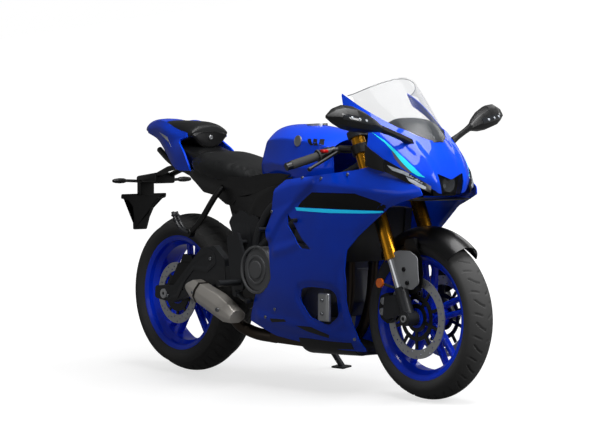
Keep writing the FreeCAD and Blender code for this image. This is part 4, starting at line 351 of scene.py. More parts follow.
# Grained vinyl seat cover.
SEAT_VINYL = Finish("grained_seat_vinyl", "#0f1011", 0.5, specular=0.4, grain=Grain.LEATHER, grain_mm=2.4,
                    relief_mm=0.12, shade="#131415", wear=0.05)
# Clear acrylic windscreen.
CLEAR_ACRYLIC = Finish("clear_acrylic", "#6f747a", 0.03, ior=1.49, alpha=0.14)
# Clear polycarbonate lamp cover.
LAMP_COVER = Finish("clear_polycarbonate", "#dfe6ea", 0.03, ior=1.58, alpha=0.3)
# Smoked acrylic of the headlamp window.
SMOKED_WINDOW = Finish("smoked_acrylic_window", "#05070b", 0.04, ior=1.49, alpha=0.34, coat=0.4)
# Clear glass of the projector.
LENS_GLASS = Finish("clear_lens_glass", "#cfdcec", 0.03, ior=1.52, alpha=0.75, coat=0.8)
# Frosted light guides of the strip lamps.
LIGHT_STRIP = Finish("frosted_light_guide", "#b9bfc6", 0.25, ior=1.49, coat=0.6, shade="#6d7379",
                     shade_mm=14.0)
# Smoked polycarbonate of indicator and mirror lenses.
SMOKED_LENS = Finish("smoked_polycarbonate", "#1b1d20", 0.08, ior=1.58, coat=0.7, shade="#202327",
                     shade_mm=12.0)
# Grey moulded guard beside the fork legs.
GUARD_GREY = Finish("moulded_grey_guard", "#8f9194", 0.42, shade="#999b9e", grain=Grain.PEBBLE,
                    grain_mm=1.2, relief_mm=0.02)
# Amber reflector plastic.
AMBER = Finish("amber_acrylic", "#ff6a12", 0.18, coat=0.6, shade="#ff8420", shade_mm=8.0)
# Red switch plastic.
RED_SWITCH = Finish("red_switch_plastic", "#c41414", 0.35, shade="#cc1c1c")


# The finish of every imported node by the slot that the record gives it.
SLOT_FINISHES: dict[str, Finish] = {
    "blue_paint": BLUE_ENAMEL, "tyre_rubber": TYRE_RUBBER, "steel": GROUND_STEEL, "black_panel": BLACK_ABS,
    "dark_steel": DARK_STEEL, "gold_anodised": GOLD_ANODISED, "chrome_plate": CHROME, "frame_grey": GREY_PAINT,
    "black_gloss": BLACK_GLOSS, "grip_rubber": GRIP_RUBBER, "amber_lens": AMBER, "engine_grey": CAST_GREY,
    "clear_screen": CLEAR_ACRYLIC, "lamp_lens": LAMP_COVER, "seat_cover": SEAT_VINYL,
    "silver_alloy": SILVER_ALLOY,
}
# Nodes whose real finish isn't the usual one of their slot.
NODE_FINISHES: dict[str, Finish] = {
    "front_rim": BLUE_POWDER, "rear_rim": BLUE_POWDER, "silencer": BRUSHED_STEEL,
    "exhaust_pipes": HEADER_STEEL, "radiator": CORE_BLACK, "position_lamps": BLACK_GLOSS,
}


def dress_nodes(frame: dict) -> None:
    """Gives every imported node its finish.
    """
    slots = {part["node"]: part.get("material_slot") for part in frame["record"]["subparts"]}
    for name, node in frame["nodes"].items():
        finish = NODE_FINISHES.get(name) or SLOT_FINISHES.get(slots.get(name, ""), BLACK_ABS)
        node.data.materials.clear()
        node.data.materials.append(finish.make())


def clear_selection() -> None:
    """Leaves edit mode and selects nothing."""
    if bpy.context.object and bpy.context.object.mode != "OBJECT":
        bpy.ops.object.mode_set(mode="OBJECT")
    bpy.ops.object.select_all(action="DESELECT")


def take(piece: Piece) -> None:
    """Makes one object the only selected and the active one."""
    clear_selection()
    piece.select_set(True)
    bpy.context.view_layer.objects.active = piece


def apply_modifier(piece: Piece, kind: str, **settings: object) -> None:
    """Adds a modifier and applies it at once.

    Args:
        piece: The object.
        kind: The modifier's type name.
        settings: Its properties.
    """
    take(piece)
    modifier = piece.modifiers.new(kind.lower(), kind)
    for name, value in settings.items():
        setattr(modifier, name, value)
    bpy.ops.object.modifier_apply(modifier=modifier.name)


def start(kind: str, **settings: object) -> Piece:
    """Adds a primitive with nothing else selected.

    Args:
        kind: The primitive's name, such as grid or cylinder.
        settings: Its size and place in upright millimetres.

    Returns:
        The new object.
    """
    clear_selection()
    getattr(bpy.ops.mesh, "primitive_" + kind + "_add")(**settings)
    return bpy.context.object


def edit_faces(piece: Piece, chosen: Callable[[Vector, Vector], bool]) -> None:
    """Enters edit mode with the chosen faces selected.

    Args:
        piece: The object.
        chosen: Says from a face's middle and normal whether it is taken.
    """
    take(piece)
    bpy.ops.object.mode_set(mode="EDIT")
    bpy.ops.mesh.select_mode(type="FACE")
    bpy.ops.mesh.select_all(action="DESELECT")
    work = bmesh.from_edit_mesh(piece.data)
    for face in work.faces:
        face.select_set(chosen(face.calc_center_median(), face.normal))
    bmesh.update_edit_mesh(piece.data)


def edit_all(piece: Piece) -> None:
    """Enters edit mode with all of an object selected."""
    take(piece)
    bpy.ops.object.mode_set(mode="EDIT")
    bpy.ops.mesh.select_all(action="SELECT")


def turn_out(piece: Piece, merge_mm: float = 0.001) -> None:
    """Merges doubles and points every face outwards.

    Args:
        piece: The object.
        merge_mm: The distance under which points are merged.
    """
    edit_all(piece)
    bpy.ops.mesh.remove_doubles(threshold=merge_mm)
    bpy.ops.mesh.normals_make_consistent(inside=False)
    bpy.ops.object.mode_set(mode="OBJECT")


def close_ends(piece: Piece, in_triangles: bool = False) -> None:
    """Merges the seam of a skin of rings and closes its two open ends.

    Args:
        piece: The object.
        in_triangles: Closes them with triangles, or else with one face each.
    """
    turn_out(piece, SEAM)
    take(piece)
    bpy.ops.object.mode_set(mode="EDIT")
    bpy.ops.mesh.select_mode(type="EDGE")
    bpy.ops.mesh.select_all(action="DESELECT")
    bpy.ops.mesh.select_non_manifold()
    if in_triangles:
        bpy.ops.mesh.fill()
    else:
        bpy.ops.mesh.edge_face_add()
    bpy.ops.object.mode_set(mode="OBJECT")
    turn_out(piece, SEAM)


def join(pieces: Sequence[Piece]) -> Piece:
    """Joins objects into the first one.

    Args:
        pieces: The objects.

    Returns:
        The joined object.
    """
    clear_selection()
    for piece in pieces:
        piece.select_set(True)
    bpy.context.view_layer.objects.active = pieces[0]
    if len(pieces) > 1:
        bpy.ops.object.join()
    return pieces[0]


def settle_shape(piece: Piece) -> None:
    """Puts an object's place, turn and scale into its mesh."""
    take(piece)
    bpy.ops.object.transform_apply(location=True, rotation=True, scale=True)


def mirrored(piece: Piece) -> Piece:
    """Adds the other side of the bike to a piece.

    Args:
        piece: The object, shaped on one side.

    Returns:
        The same object, now with both sides.
    """
    settle_shape(piece)
    apply_modifier(piece, "MIRROR", use_axis=(False, True, False), use_clip=False, use_mirror_merge=True,
                   merge_threshold=0.01)
    return piece


def aim(piece: Piece, place: Spot, way: Spot) -> None:
    """Sets an object that was shaped along +Z at a place and along a way."""
    piece.rotation_euler = Vector(way).to_track_quat("Z", "Y").to_euler()
    piece.location = place


def box(name: str, middle: Spot, size: Spot) -> Piece:
    """Makes a box.

    Args:
        name: The object's name.
        middle: Its middle in upright millimetres.
        size: Its length, width and height.

    Returns:
        The box, with sharp edges.
    """
    piece = start("cube", size=1.0, location=middle, scale=size)
    piece.name = name
    settle_shape(piece)
    return piece


def round_edges(piece: Piece, width: float, segments: int = 3) -> None:
    """Rounds every edge of a block."""
    apply_modifier(piece, "BEVEL", width=width, segments=segments, limit_method="NONE")


def sheet_from(rows: Sequence[Sequence[Spot]], name: str) -> Piece:
    """Shapes a grid primitive through rows of places.

    Args:
        rows: Equal rows of places in upright millimetres.
        name: The object's name.

    Returns:
        The shaped object.
    """
    across, along = len(rows[0]), len(rows)
    piece = start("grid", x_subdivisions=across - 1, y_subdivisions=along - 1, size=1.0)
    piece.name = name
    places = [place for row in rows for place in row]
    for vertex, place in zip(piece.data.vertices, places):
        vertex.co = place
    return piece


def rib(x: float, *points: Flat) -> tuple[Spot, ...]:
    """Gives the places of a half section that stands straight across the bike."""
    return tuple((x, y, z) for y, z in points)


def whole_rows(rows: Sequence[Sequence[Spot]]) -> list[list[Spot]]:
    """Runs half rows, which start at the bike's middle, from the right edge to the left one."""
    return [[(x, -y, z) for x, y, z in reversed(row)] + list(row[1:]) for row in rows]


def smooth_line(values: Sequence[float], ways: Sequence[float], at: float) -> float:
    """Reads a smooth curve through uneven knots.

    Args:
        values: The curve's value at each knot.
        ways: The knots in rising order.
        at: Where to read.

    Returns:
        The value there, on cubic pieces with finite-difference slopes.
    """
    last = len(ways) - 1
    i = min(max(sum(1 for w in ways[1:-1] if w <= at), 0), last - 1)

    def slope(k: int) -> float:
        """Gives the slope at a knot."""
        low, high = max(k - 1, 0), min(k + 1, last)
        return (values[high] - values[low]) / (ways[high] - ways[low])

    span = ways[i + 1] - ways[i]
    t = (at - ways[i]) / span
    t2, t3 = t * t, t * t * t
    return ((2 * t3 - 3 * t2 + 1) * values[i] + (t3 - 2 * t2 + t) * span * slope(i)
            + (3 * t2 - 2 * t3) * values[i + 1] + (t3 - t2) * span * slope(i + 1))


def refine(rows: Sequence[Sequence[Spot]], along: int, across: int) -> list[list[Spot]]:
    """Reads a smooth surface through a coarse table of places.

    Args:
        rows: Equal rows of places.
        along: New rows for each old gap between rows.
        across: New places for each old gap in a row.

    Returns:
        The fine rows.
    """
    count, width = len(rows), len(rows[0])
    row_knots, knots = list(range(count)), list(range(width))
    fine = []
    for i in range((count - 1) * along + 1):
        v = i / along
        line = [tuple(smooth_line([rows[r][c][k] for r in range(count)], row_knots, v) for k in range(3))
                for c in range(width)]
        fine.append([tuple(smooth_line([spot[k] for spot in line], knots, j / across) for k in range(3))
                     for j in range((width - 1) * across + 1)])
    return fine


def line_gap(at: Flat, a: Flat, b: Flat) -> float:
    """Gives the distance from a point to a run between two points in the side view."""
    px, pz, dx, dz = at[0] - a[0], at[1] - a[1], b[0] - a[0], b[1] - a[1]
    t = min(1.0, max(0.0, (px * dx + pz * dz) / (dx * dx + dz * dz)))
    return math.hypot(px - t * dx, pz - t * dz)


def path_gap(at: Flat, path: Sequence[Flat]) -> float:
    """Gives the distance from a point to a bent line in the side view."""
    return min(line_gap(at, a, b) for a, b in zip(path, path[1:]))


def inside(at: Flat, outline: Sequence[Flat]) -> bool:
    """Says whether a point lies in an outline of the side view."""
    odd = False
    for (x1, z1), (x2, z2) in zip(outline, list(outline[1:]) + [outline[0]]):
        if (z1 > at[1]) != (z2 > at[1]) and at[0] < x1 + (at[1] - z1) * (x2 - x1) / (z2 - z1):
            odd = not odd
    return odd


def met(ground: BVHTree, x: float, z: float, side: int = -1) -> tuple[Vector | None, Vector | None]:
    """Looks for a panel from beside the bike.

    Args:
        ground: Its faces.
        x: Place along the bike.
        z: Height.
        side: -1 from the right, 1 from the left.

    Returns:
        Where it is met and the way that it faces there, or None twice.
    """
    spot, normal, _, _ = ground.ray_cast(Vector((x, side * BESIDE, z)), Vector((0, -side, 0)))
    return spot, normal


@dataclass(frozen=True)
class Ridge:
    """A pressed crease or raised line in a panel, seen from the side."""

    path: Outline
    height: float
    reach: float

    def lift(self, at: Flat) -> float:
        """Gives how far the panel stands out at a point."""
        return self.height * max(0.0, 1.0 - path_gap(at, self.path) / self.reach)


@dataclass(frozen=True)
class Step:
    """A raised or sunk field in a panel, seen from the side."""

    outline: Outline
    height: float
    blend: float

    def lift(self, at: Flat) -> float:
        """Gives how far the panel stands out at a point."""
        gap = path_gap(at, self.outline + self.outline[:1])
        signed = gap if inside(at, self.outline) else -gap
        t = min(1.0, max(0.0, signed / self.blend + 0.5))
        return self.height * t * t * (3 - 2 * t)


def face_through(places: Sequence[Spot]) -> Piece:
    """Makes one flat face with its corners at the places."""
    piece = start("circle", vertices=len(places), radius=1.0, fill_type="NGON")
    for vertex, place in zip(piece.data.vertices, places):
        vertex.co = place
    return piece


def plate(places: Sequence[Spot], push: Spot, corner: float = 0.0, segments: int = 4) -> Piece:
    """Extrudes a flat outline to a plate.

    Args:
        places: The corners of one face in upright millimetres.
        push: The way to the other face.
        corner: The rounding of the corners.
        segments: The steps of that rounding.

    Returns:
        The closed plate.
    """
    piece = face_through(places)
    edit_all(piece)
    if corner:
        bpy.ops.mesh.bevel(offset=corner, segments=segments, affect="VERTICES")
        bpy.ops.mesh.select_all(action="SELECT")
    bpy.ops.mesh.extrude_region_move(TRANSFORM_OT_translate={"value": push})
    bpy.ops.mesh.select_all(action="SELECT")
    bpy.ops.mesh.normals_make_consistent(inside=False)
    bpy.ops.object.mode_set(mode="OBJECT")
    return piece


def prism(outline: Sequence[Flat], low: float, high: float, corner: float = 0.0) -> Piece:
    """Makes a cutter with a side view outline, from one place across the bike to another.

    Args:
        outline: Its corners, x and z in upright millimetres.
        low: Its face nearer the bike's right.
        high: Its other face.
        corner: The rounding of its corners.

    Returns:
        The cutter.
    """
    return plate([(x, low, z) for x, z in outline], (0.0, high - low, 0.0), corner)


class Keep(Enum):
    """What a cutter leaves of a piece."""

    OUTSIDE = "DIFFERENCE"
    INSIDE = "INTERSECT"


def cut(piece: Piece, cutter: Piece, keep: Keep = Keep.OUTSIDE) -> None:
    """Cuts one object with another and drops the cutter.

    Args:
        piece: The object that is cut.
        cutter: The object that cuts.
        keep: The part that stays.
    """
    apply_modifier(piece, "BOOLEAN", object=cutter, operation=keep.value, solver="EXACT")
    bpy.data.objects.remove(cutter, do_unlink=True)


def tube(path: Sequence[Spot], radius: float, name: str, round_path: bool = True) -> Piece:
    """Bends a round rod along places.

    Args:
        path: Its places in upright millimetres.
        radius: Its radius.
        name: The object's name.
        round_path: Runs smoothly near the places, or straight between them.

    Returns:
        The rod as a mesh with closed ends.
    """
    clear_selection()
    bpy.ops.curve.primitive_nurbs_path_add()
    rod = bpy.context.object
    rod.name = name
    rod.data.splines.clear()
    spline = rod.data.splines.new("NURBS" if round_path else "POLY")
    spline.points.add(len(path) - 1)
    for point, place in zip(spline.points, path):
        point.co = (*place, 1.0)
    if round_path:
        spline.use_endpoint_u = True
        spline.order_u = 3
    rod.data.resolution_u = 6
    rod.data.bevel_depth = radius
    rod.data.bevel_resolution = 3
    rod.data.use_fill_caps = True
    bpy.ops.object.convert(target="MESH")
    rod = bpy.context.object
    turn_out(rod)
    return rod


def turned(profile: Sequence[Flat], centre: Spot, way: Spot, name: str, steps: int = 24) -> Piece:
    """Turns a profile of radius and length about an axis.

    Args:
        profile: Pairs of radius and distance along the axis, from the closed back to the closed front.
        centre: Where the axis starts, in upright millimetres.
        way: The axis.
        name: The object's name.
        steps: How many faces round.

    Returns:
        The turned solid.
    """
    rows = []
    for step in range(steps + 1):
        angle = 2 * math.pi * step / steps
        rows.append([(r * math.cos(angle), r * math.sin(angle), h) for r, h in profile])
    piece = sheet_from(rows, name)
    turn_out(piece, merge_mm=0.0005)
    aim(piece, centre, way)
    settle_shape(piece)
    return piece


@dataclass
class Bench:
    """Where pieces are shaped upright in millimetres and handed to the parked bike in metres."""

    parked: Matrix

    def hand_over(self, piece: Piece, finish: Finish, replaces: Sequence[str] = (),
                  body: str = "chassis", smooth_deg: float = 32.0) -> Piece:
        """Finishes a piece: its place, shading, material and body.

        Args:
            piece: The shaped object in upright millimetres.
            finish: Its finish.
            replaces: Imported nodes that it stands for.
            body: The body that it rides on.
            smooth_deg: The angle under which faces shade smoothly.

        Returns:
            The finished piece.
        """
        settle_shape(piece)
        piece.matrix_world = self.parked
        settle_shape(piece)
        bpy.ops.object.shade_smooth_by_angle(angle=math.radians(smooth_deg))
        piece.data.materials.clear()
        piece.data.materials.append(finish.make())
        piece.data.name = piece.name
        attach(piece, body)
        if replaces:
            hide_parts(*replaces)
        LOG.info("%s rides on %s", piece.name, body)
        return piece

    def surface(self, pieces: Sequence[Piece]) -> BVHTree:
        """Gives the faces of finished pieces or nodes, in upright millimetres, for laying things on them.

        Args:
            pieces: The objects.

        Returns:
            A tree that finds where a ray meets them.
        """
        back = self.parked.inverted()
        places: list[Vector] = []
        faces: list[tuple[int, ...]] = []
        for piece in pieces:
            base = len(places)
            places.extend(back @ vertex.co for vertex in piece.data.vertices)
            faces.extend(tuple(base + i for i in face.vertices) for face in piece.data.polygons)
        return BVHTree.FromPolygons(places, faces)

    def decal(self, name: str, outline: Sequence[Flat], ground: BVHTree, finish: Finish,
              lift: float = 0.5, grid: float = 9.0) -> Piece:
        """Lays a thin sheet on the right side of a panel, and its mirror image on the left.

        Args:
            name: The object's name.
            outline: Its corners in the side view.
            ground: What it is laid on.
            finish: Its finish.
            lift: How far it stands off the panel.
            grid: How finely it follows the panel.

        Returns:
            The finished sheet, without what misses the panel.
        """
        piece = face_through([(x, -BESIDE, z) for x, z in outline])
        piece.name = name
        take(piece)
        bpy.ops.object.mode_set(mode="EDIT")
        xs, zs = [p[0] for p in outline], [p[1] for p in outline]
        for low, high, axis, facing in ((min(xs), max(xs), 0, (1.0, 0.0, 0.0)),
                                        (min(zs), max(zs), 2, (0.0, 0.0, 1.0))):
            for i in range(1, int((high - low) / grid) + 1):
                at = [0.0, -BESIDE, 0.0]
                at[axis] = low + i * grid
                bpy.ops.mesh.select_all(action="SELECT")
                bpy.ops.mesh.bisect(plane_co=at, plane_no=facing)
        bpy.ops.object.mode_set(mode="OBJECT")
        lost = []
        for vertex in piece.data.vertices:
            spot, normal = met(ground, vertex.co.x, vertex.co.z)
            if spot is None:
                lost.append(vertex.index)
                continue
            if normal.y > 0:
                normal = -normal
            vertex.co = spot + normal * lift
        if lost:
            take(piece)
            bpy.ops.object.mode_set(mode="EDIT")
            bpy.ops.mesh.select_mode(type="VERT")
            bpy.ops.mesh.select_all(action="DESELECT")
            work = bmesh.from_edit_mesh(piece.data)
            work.verts.ensure_lookup_table()
            for index in lost:
                work.verts[index].select_set(True)
            bmesh.update_edit_mesh(piece.data)
            bpy.ops.mesh.delete(type="VERT")
            bpy.ops.object.mode_set(mode="OBJECT")
        edit_all(piece)
        work = bmesh.from_edit_mesh(piece.data)
        work.normal_update()
        if sum(face.normal.y * face.calc_area() for face in work.faces) > 0:
            bpy.ops.mesh.flip_normals()
        bpy.ops.object.mode_set(mode="OBJECT")
        apply_modifier(piece, "SOLIDIFY", thickness=lift * 0.8, offset=-1.0)
        mirrored(piece)
        turn_out(piece)
        return self.hand_over(piece, finish, smooth_deg=60.0)

    def bolt(self, radius: float, name: str) -> Piece:
        """Makes a button head bolt with a hexagon socket that faces up.

        Args:
            radius: The head's radius.
            name: The object's name.

        Returns:
            The bolt.
        """
        head = start("cylinder", vertices=24, radius=radius, depth=radius * 0.7,
                     location=(0, 0, radius * 0.35))
        head.name = name
        settle_shape(head)
        edit_faces(head, lambda middle, normal: normal.z > 0.9)
        bpy.ops.mesh.bevel(offset=radius * 0.22, segments=3, affect="EDGES")
        bpy.ops.object.mode_set(mode="OBJECT")
        socket = start("cylinder", vertices=6, radius=radius * 0.5, depth=radius * 0.7,
                       location=(0, 0, radius * 0.75))
        cut(head, socket)
        return head

    def bolts(self, name: str, spots: Sequence[tuple[Spot, Spot, float]], finish: Finish,
              body: str = "chassis") -> Piece:
        """Makes a set of bolts as one piece.

        Args:
            name: The object's name.
            spots: Place, way and head radius of each.
            finish: Their finish.
            body: The body that they ride on.

        Returns:
            The set.
        """
        models: dict[float, Piece] = {}
        made = []
        for place, way, radius in spots:
            if radius not in models:
                models[radius] = self.bolt(radius, name)
            copy = models[radius].copy()
            copy.data = models[radius].data.copy()
            bpy.context.scene.collection.objects.link(copy)
            aim(copy, place, way)
            made.append(copy)
        for model in models.values():
            bpy.data.objects.remove(model, do_unlink=True)
        piece = join(made)
        piece.name = name
        return self.hand_over(piece, finish, body=body)


@dataclass
class SideFairings:
    """The two blue side panels with their pressed crest, blade, graphics, openings and bolts."""

    thickness: float = 3.2
    rear_x: float = 560
    front_x: float = 1510
    low_z: float = 148
    above_crest: float = 105
    columns: int = 118
    rows_below: int = 66
    rows_above: int = 9
    cut_from: float = -320
    cut_to: float = -60
    knots_along: tuple[float, ...] = (540, 640, 740, 850, 960, 1060, 1150, 1240, 1330, 1430, 1540)
    knots_up: tuple[float, ...] = (119, 200, 265, 350, 420, 500, 580, 650, 720, 790, 860, 930)
    across: tuple[tuple[float, ...], ...] = (
        (150, 168, 178, 188, 193, 193, 188, 180, 170, 156, 140, 124),
        (146, 170, 184, 197, 203, 204, 200, 192, 182, 168, 150, 132),
        (138, 166, 186, 204, 211, 213, 211, 205, 196, 182, 164, 146),
        (124, 158, 184, 206, 215, 219, 219, 216, 209, 196, 180, 162),
        (104, 142, 172, 198, 212, 220, 223, 222, 217, 207, 192, 174),
        (80, 116, 146, 180, 203, 216, 222, 224, 221, 212, 200, 182),
        (52, 84, 114, 150, 180, 202, 212, 218, 218, 212, 202, 186),
        (30, 54, 84, 122, 155, 180, 196, 204, 208, 206, 198, 184),
        (20, 40, 66, 102, 134, 160, 176, 184, 190, 191, 186, 174),
        (14, 30, 50, 84, 114, 136, 150, 158, 163, 163, 160, 150),
        (8, 20, 36, 60, 84, 100, 110, 112, 112, 106, 98, 92))
    crest: Outline = ((540, 690), (740, 735), (862, 772), (991, 782), (1103, 779), (1225, 767), (1350, 756),
                      (1545, 746))
    outline: Outline = (
        (578, 246), (718, 196), (864, 177), (1032, 160), (1126, 157), (1112, 210), (1106, 264), (1105, 310),
        (1111, 354), (1133, 418), (1138, 464), (1165, 541), (1215, 590), (1268, 630), (1363, 702),
        (1441, 730), (1500, 748), (1490, 776), (1430, 802), (1345, 836), (1288, 848), (1209, 834),
        (1050, 815), (824, 790), (762, 754), (741, 648), (711, 596), (731, 527), (739, 415), (710, 378),
        (633, 353), (589, 273))
    duct: Outline = ((840, 666), (862, 648), (890, 623), (936, 573), (984, 537), (929, 538), (886, 583),
                     (846, 622))
    window: Outline = ((896, 343), (910, 388), (967, 397), (1060, 392), (1080, 372), (1062, 290),
                       (1006, 252), (930, 280))
    slots: tuple[Outline, ...] = (
        ((706, 262), (790, 264), (800, 255), (716, 248)),
        ((850, 244), (924, 243), (1000, 216), (994, 204), (896, 226)))
    creases: tuple[Ridge | Step, ...] = (
        Ridge(crest, 11.0, 62.0),
        Step(((1012, 800), (998, 774), (912, 722), (838, 664), (806, 640), (745, 560), (640, 560),
              (600, 830)), 8.0, 13.0),
        Ridge(((770, 520), (845, 537), (912, 557)), 5.0, 26.0),
        Step(((880, 350), (896, 400), (967, 412), (1072, 404), (1094, 380), (1076, 278), (1008, 236),
              (918, 268)), -5.0, 12.0),
        Ridge(((640, 262), (850, 236), (1010, 206), (1120, 196)), 5.0, 32.0),
        Ridge(((1126, 157), (1106, 264), (1111, 354), (1138, 464), (1215, 590), (1363, 702), (1500, 748)),
              -7.0, 22.0))
    black_field: Outline = ((904, 690), (926, 712), (990, 748), (1226, 750), (1320, 726), (1400, 691),
                            (1240, 690), (1060, 691))
    cyan_line: Outline = ((889, 689), (1385, 689), (1400, 685), (1250, 678), (1095, 675), (899, 677))
    bolt_spots: Outline = ((749, 668), (683, 266), (1100, 205), (932, 800), (1040, 800), (1180, 818),
                           (745, 300))

    def width(self, x: float, z: float) -> float:
        """Gives how far the pressed panel stands from the middle of the bike.

        Args:
            x: Place along the bike.
            z: Height.

        Returns:
            The distance from the middle plane.
        """
        column = [smooth_line(row, self.knots_up, z) for row in self.across]
        base = smooth_line(column, self.knots_along, x)
        return base + sum(crease.lift((x, z)) for crease in self.creases)

    def skin(self) -> Piece:
        """Shapes the right panel as a shell with its openings."""
        crest_x = [p[0] for p in self.crest]
        crest_z = [p[1] for p in self.crest]
        rows = []
        for j in range(self.rows_below + self.rows_above + 1):
            row = []
            for i in range(self.columns + 1):
                x = self.rear_x + i * (self.front_x - self.rear_x) / self.columns
                top = smooth_line(crest_z, crest_x, x)
                if j <= self.rows_below:
                    z = self.low_z + (top - self.low_z) * j / self.rows_below
                else:
                    z = top + self.above_crest * (j - self.rows_below) / self.rows_above
                row.append((x, -self.width(x, z), z))
            rows.append(row)
        panel = sheet_from(rows, "side_fairing_skins")
        apply_modifier(panel, "SOLIDIFY", thickness=self.thickness, offset=-1.0)
        cut(panel, prism(self.outline, self.cut_from, self.cut_to, 7.0), Keep.INSIDE)
        for opening, corner in ((self.duct, 4.0), (self.window, 14.0)):
            cut(panel, prism(opening, self.cut_from, self.cut_to, corner))
        return panel

    def heat_cover(self) -> Piece:
        """Shapes the silver cover that fills the front of the window."""
        cover = box("engine_window_cover", (1034, -196, 324), (58, 16, 104))
        edit_faces(cover, lambda middle, normal: normal.y < -0.9)
        bpy.ops.mesh.inset(thickness=7.0)
        bpy.ops.transform.translate(value=(0, -5, 0))
        bpy.ops.object.mode_set(mode="OBJECT")
        round_edges(cover, 9.0, 4)
        return cover

    def build(self, bench: Bench) -> None:
        """Builds the panels, their graphics, covers and bolts.

        Args:
            bench: Where the pieces are handed over.
        """
        skins = bench.hand_over(mirrored(self.skin()), BLUE_ENAMEL, ("side_fairings",))
        ground = bench.surface([skins])
        bench.decal("black_graphics", self.black_field, ground, BLACK_VINYL)
        bench.decal("turquoise_side_lines", self.cyan_line, ground, SIDE_LINE_VINYL, lift=0.8)
        # The belly slots are flat black sheets on the panel, not holes: the dark inner parts behind them and
        # painted shade in the openings.
        for number, slot in enumerate(self.slots):
            bench.decal("belly_slot_" + str(number + 1), slot, ground, BLACK_ABS, lift=0.6)
        bench.hand_over(mirrored(self.heat_cover()), SILVER_ALLOY)
        spots = []
        for x, z in self.bolt_spots:
            hit, normal = met(ground, x, z)
            if hit:
                for side in (1, -1):
                    spots.append(((hit.x, hit.y * side, hit.z), (normal.x, normal.y * side, normal.z), 6.0))
        for z in (300, 350):
            for side in (1, -1):
                spots.append(((1034, -209 * side, z), (0, -side, 0), 7.0))
        bench.bolts("fairing_bolts", spots, ZINC)


@dataclass
class RoadTyre:
    """A radial road tyre with a round crown and curved tread grooves."""

    node: str
    body: str
    centre: Spot
    radius: float
    width: float
    crown: float
    crown_deg: float
    rim_width: float
    pitches: int = 22
    groove: float = 3.6
    steps: int = 704
    seat: float = 216.0
    bead: float = 216.3
    lip: float = 229.3
    bead_wide: float = 7.3

    def profile(self) -> list[Flat]:
        """Gives the section from one bead over the crown to the other, across and out."""
        half = self.width / 2
        widest = self.radius - (self.radius - self.seat) * 0.55
        turn = math.radians(self.crown_deg)
        edge = (self.crown * math.sin(turn), self.radius - self.crown + self.crown * math.cos(turn))
        rim = self.rim_width / 2
        side = [(rim - self.bead_wide, self.bead), (rim - self.bead_wide, self.lip), (rim, self.lip),
                (half * 0.965, self.lip + (widest - self.lip) * 0.45),
                (half, widest), (half * 0.985, widest + (edge[1] - widest) * 0.3),
                (half * 0.93, widest + (edge[1] - widest) * 0.62)]
        arc = [(self.crown * math.sin(turn * k / 12),
                self.radius - self.crown + self.crown * math.cos(turn * k / 12)) for k in range(12, -13, -1)]
        return side + arc + [(-across, out) for across, out in reversed(side)]

    def sunk(self, across: float, share: float) -> float:
        """Gives the depth of the tread at a place.

        Args:
            across: Distance from the tyre's middle.
            share: Way round the tyre as a share of a pitch, from 0 to 1.

        Returns:
            How deep the groove is there.
        """
        reach = self.crown * math.sin(math.radians(self.crown_deg))
        s = abs(across) / reach
        phase = share if across > 0 else share + 0.5
        long_cut = (0.16 + 0.42 * s * s) % 1.0
        short_cut = (0.68 + 0.22 * s) % 1.0
        gap_long = abs((phase - long_cut + 0.5) % 1.0 - 0.5)
        gap_short = abs((phase - short_cut + 0.5) % 1.0 - 0.5)
        if 0.1 < s < 0.93 and gap_long < 0.055:
            return self.groove
        if 0.42 < s < 0.98 and gap_short < 0.042:
            return self.groove * 0.8
        return 0.0

    def build(self, bench: Bench) -> None:
        """Builds the tyre.

        Args:
            bench: Where the piece is handed over.
        """
        profile = self.profile()
        rows = []
        for step in range(self.steps + 1):
            angle = 2 * math.pi * (step % self.steps) / self.steps
            share = (step % self.steps) * self.pitches / self.steps % 1.0
            row = []
            for index, (across, out) in enumerate(profile):
                deep = self.sunk(across, share) if 6 < index < len(profile) - 7 else 0.0
                reach = out - deep
                row.append((self.centre[0] + reach * math.cos(angle), across,
                            self.centre[2] + reach * math.sin(angle)))
            rows.append(row + [row[0]])
        tyre = sheet_from(rows, self.node + "_tread")
        turn_out(tyre, SEAM)
        bench.hand_over(tyre, TYRE_RUBBER, (self.node,), self.body, smooth_deg=38)


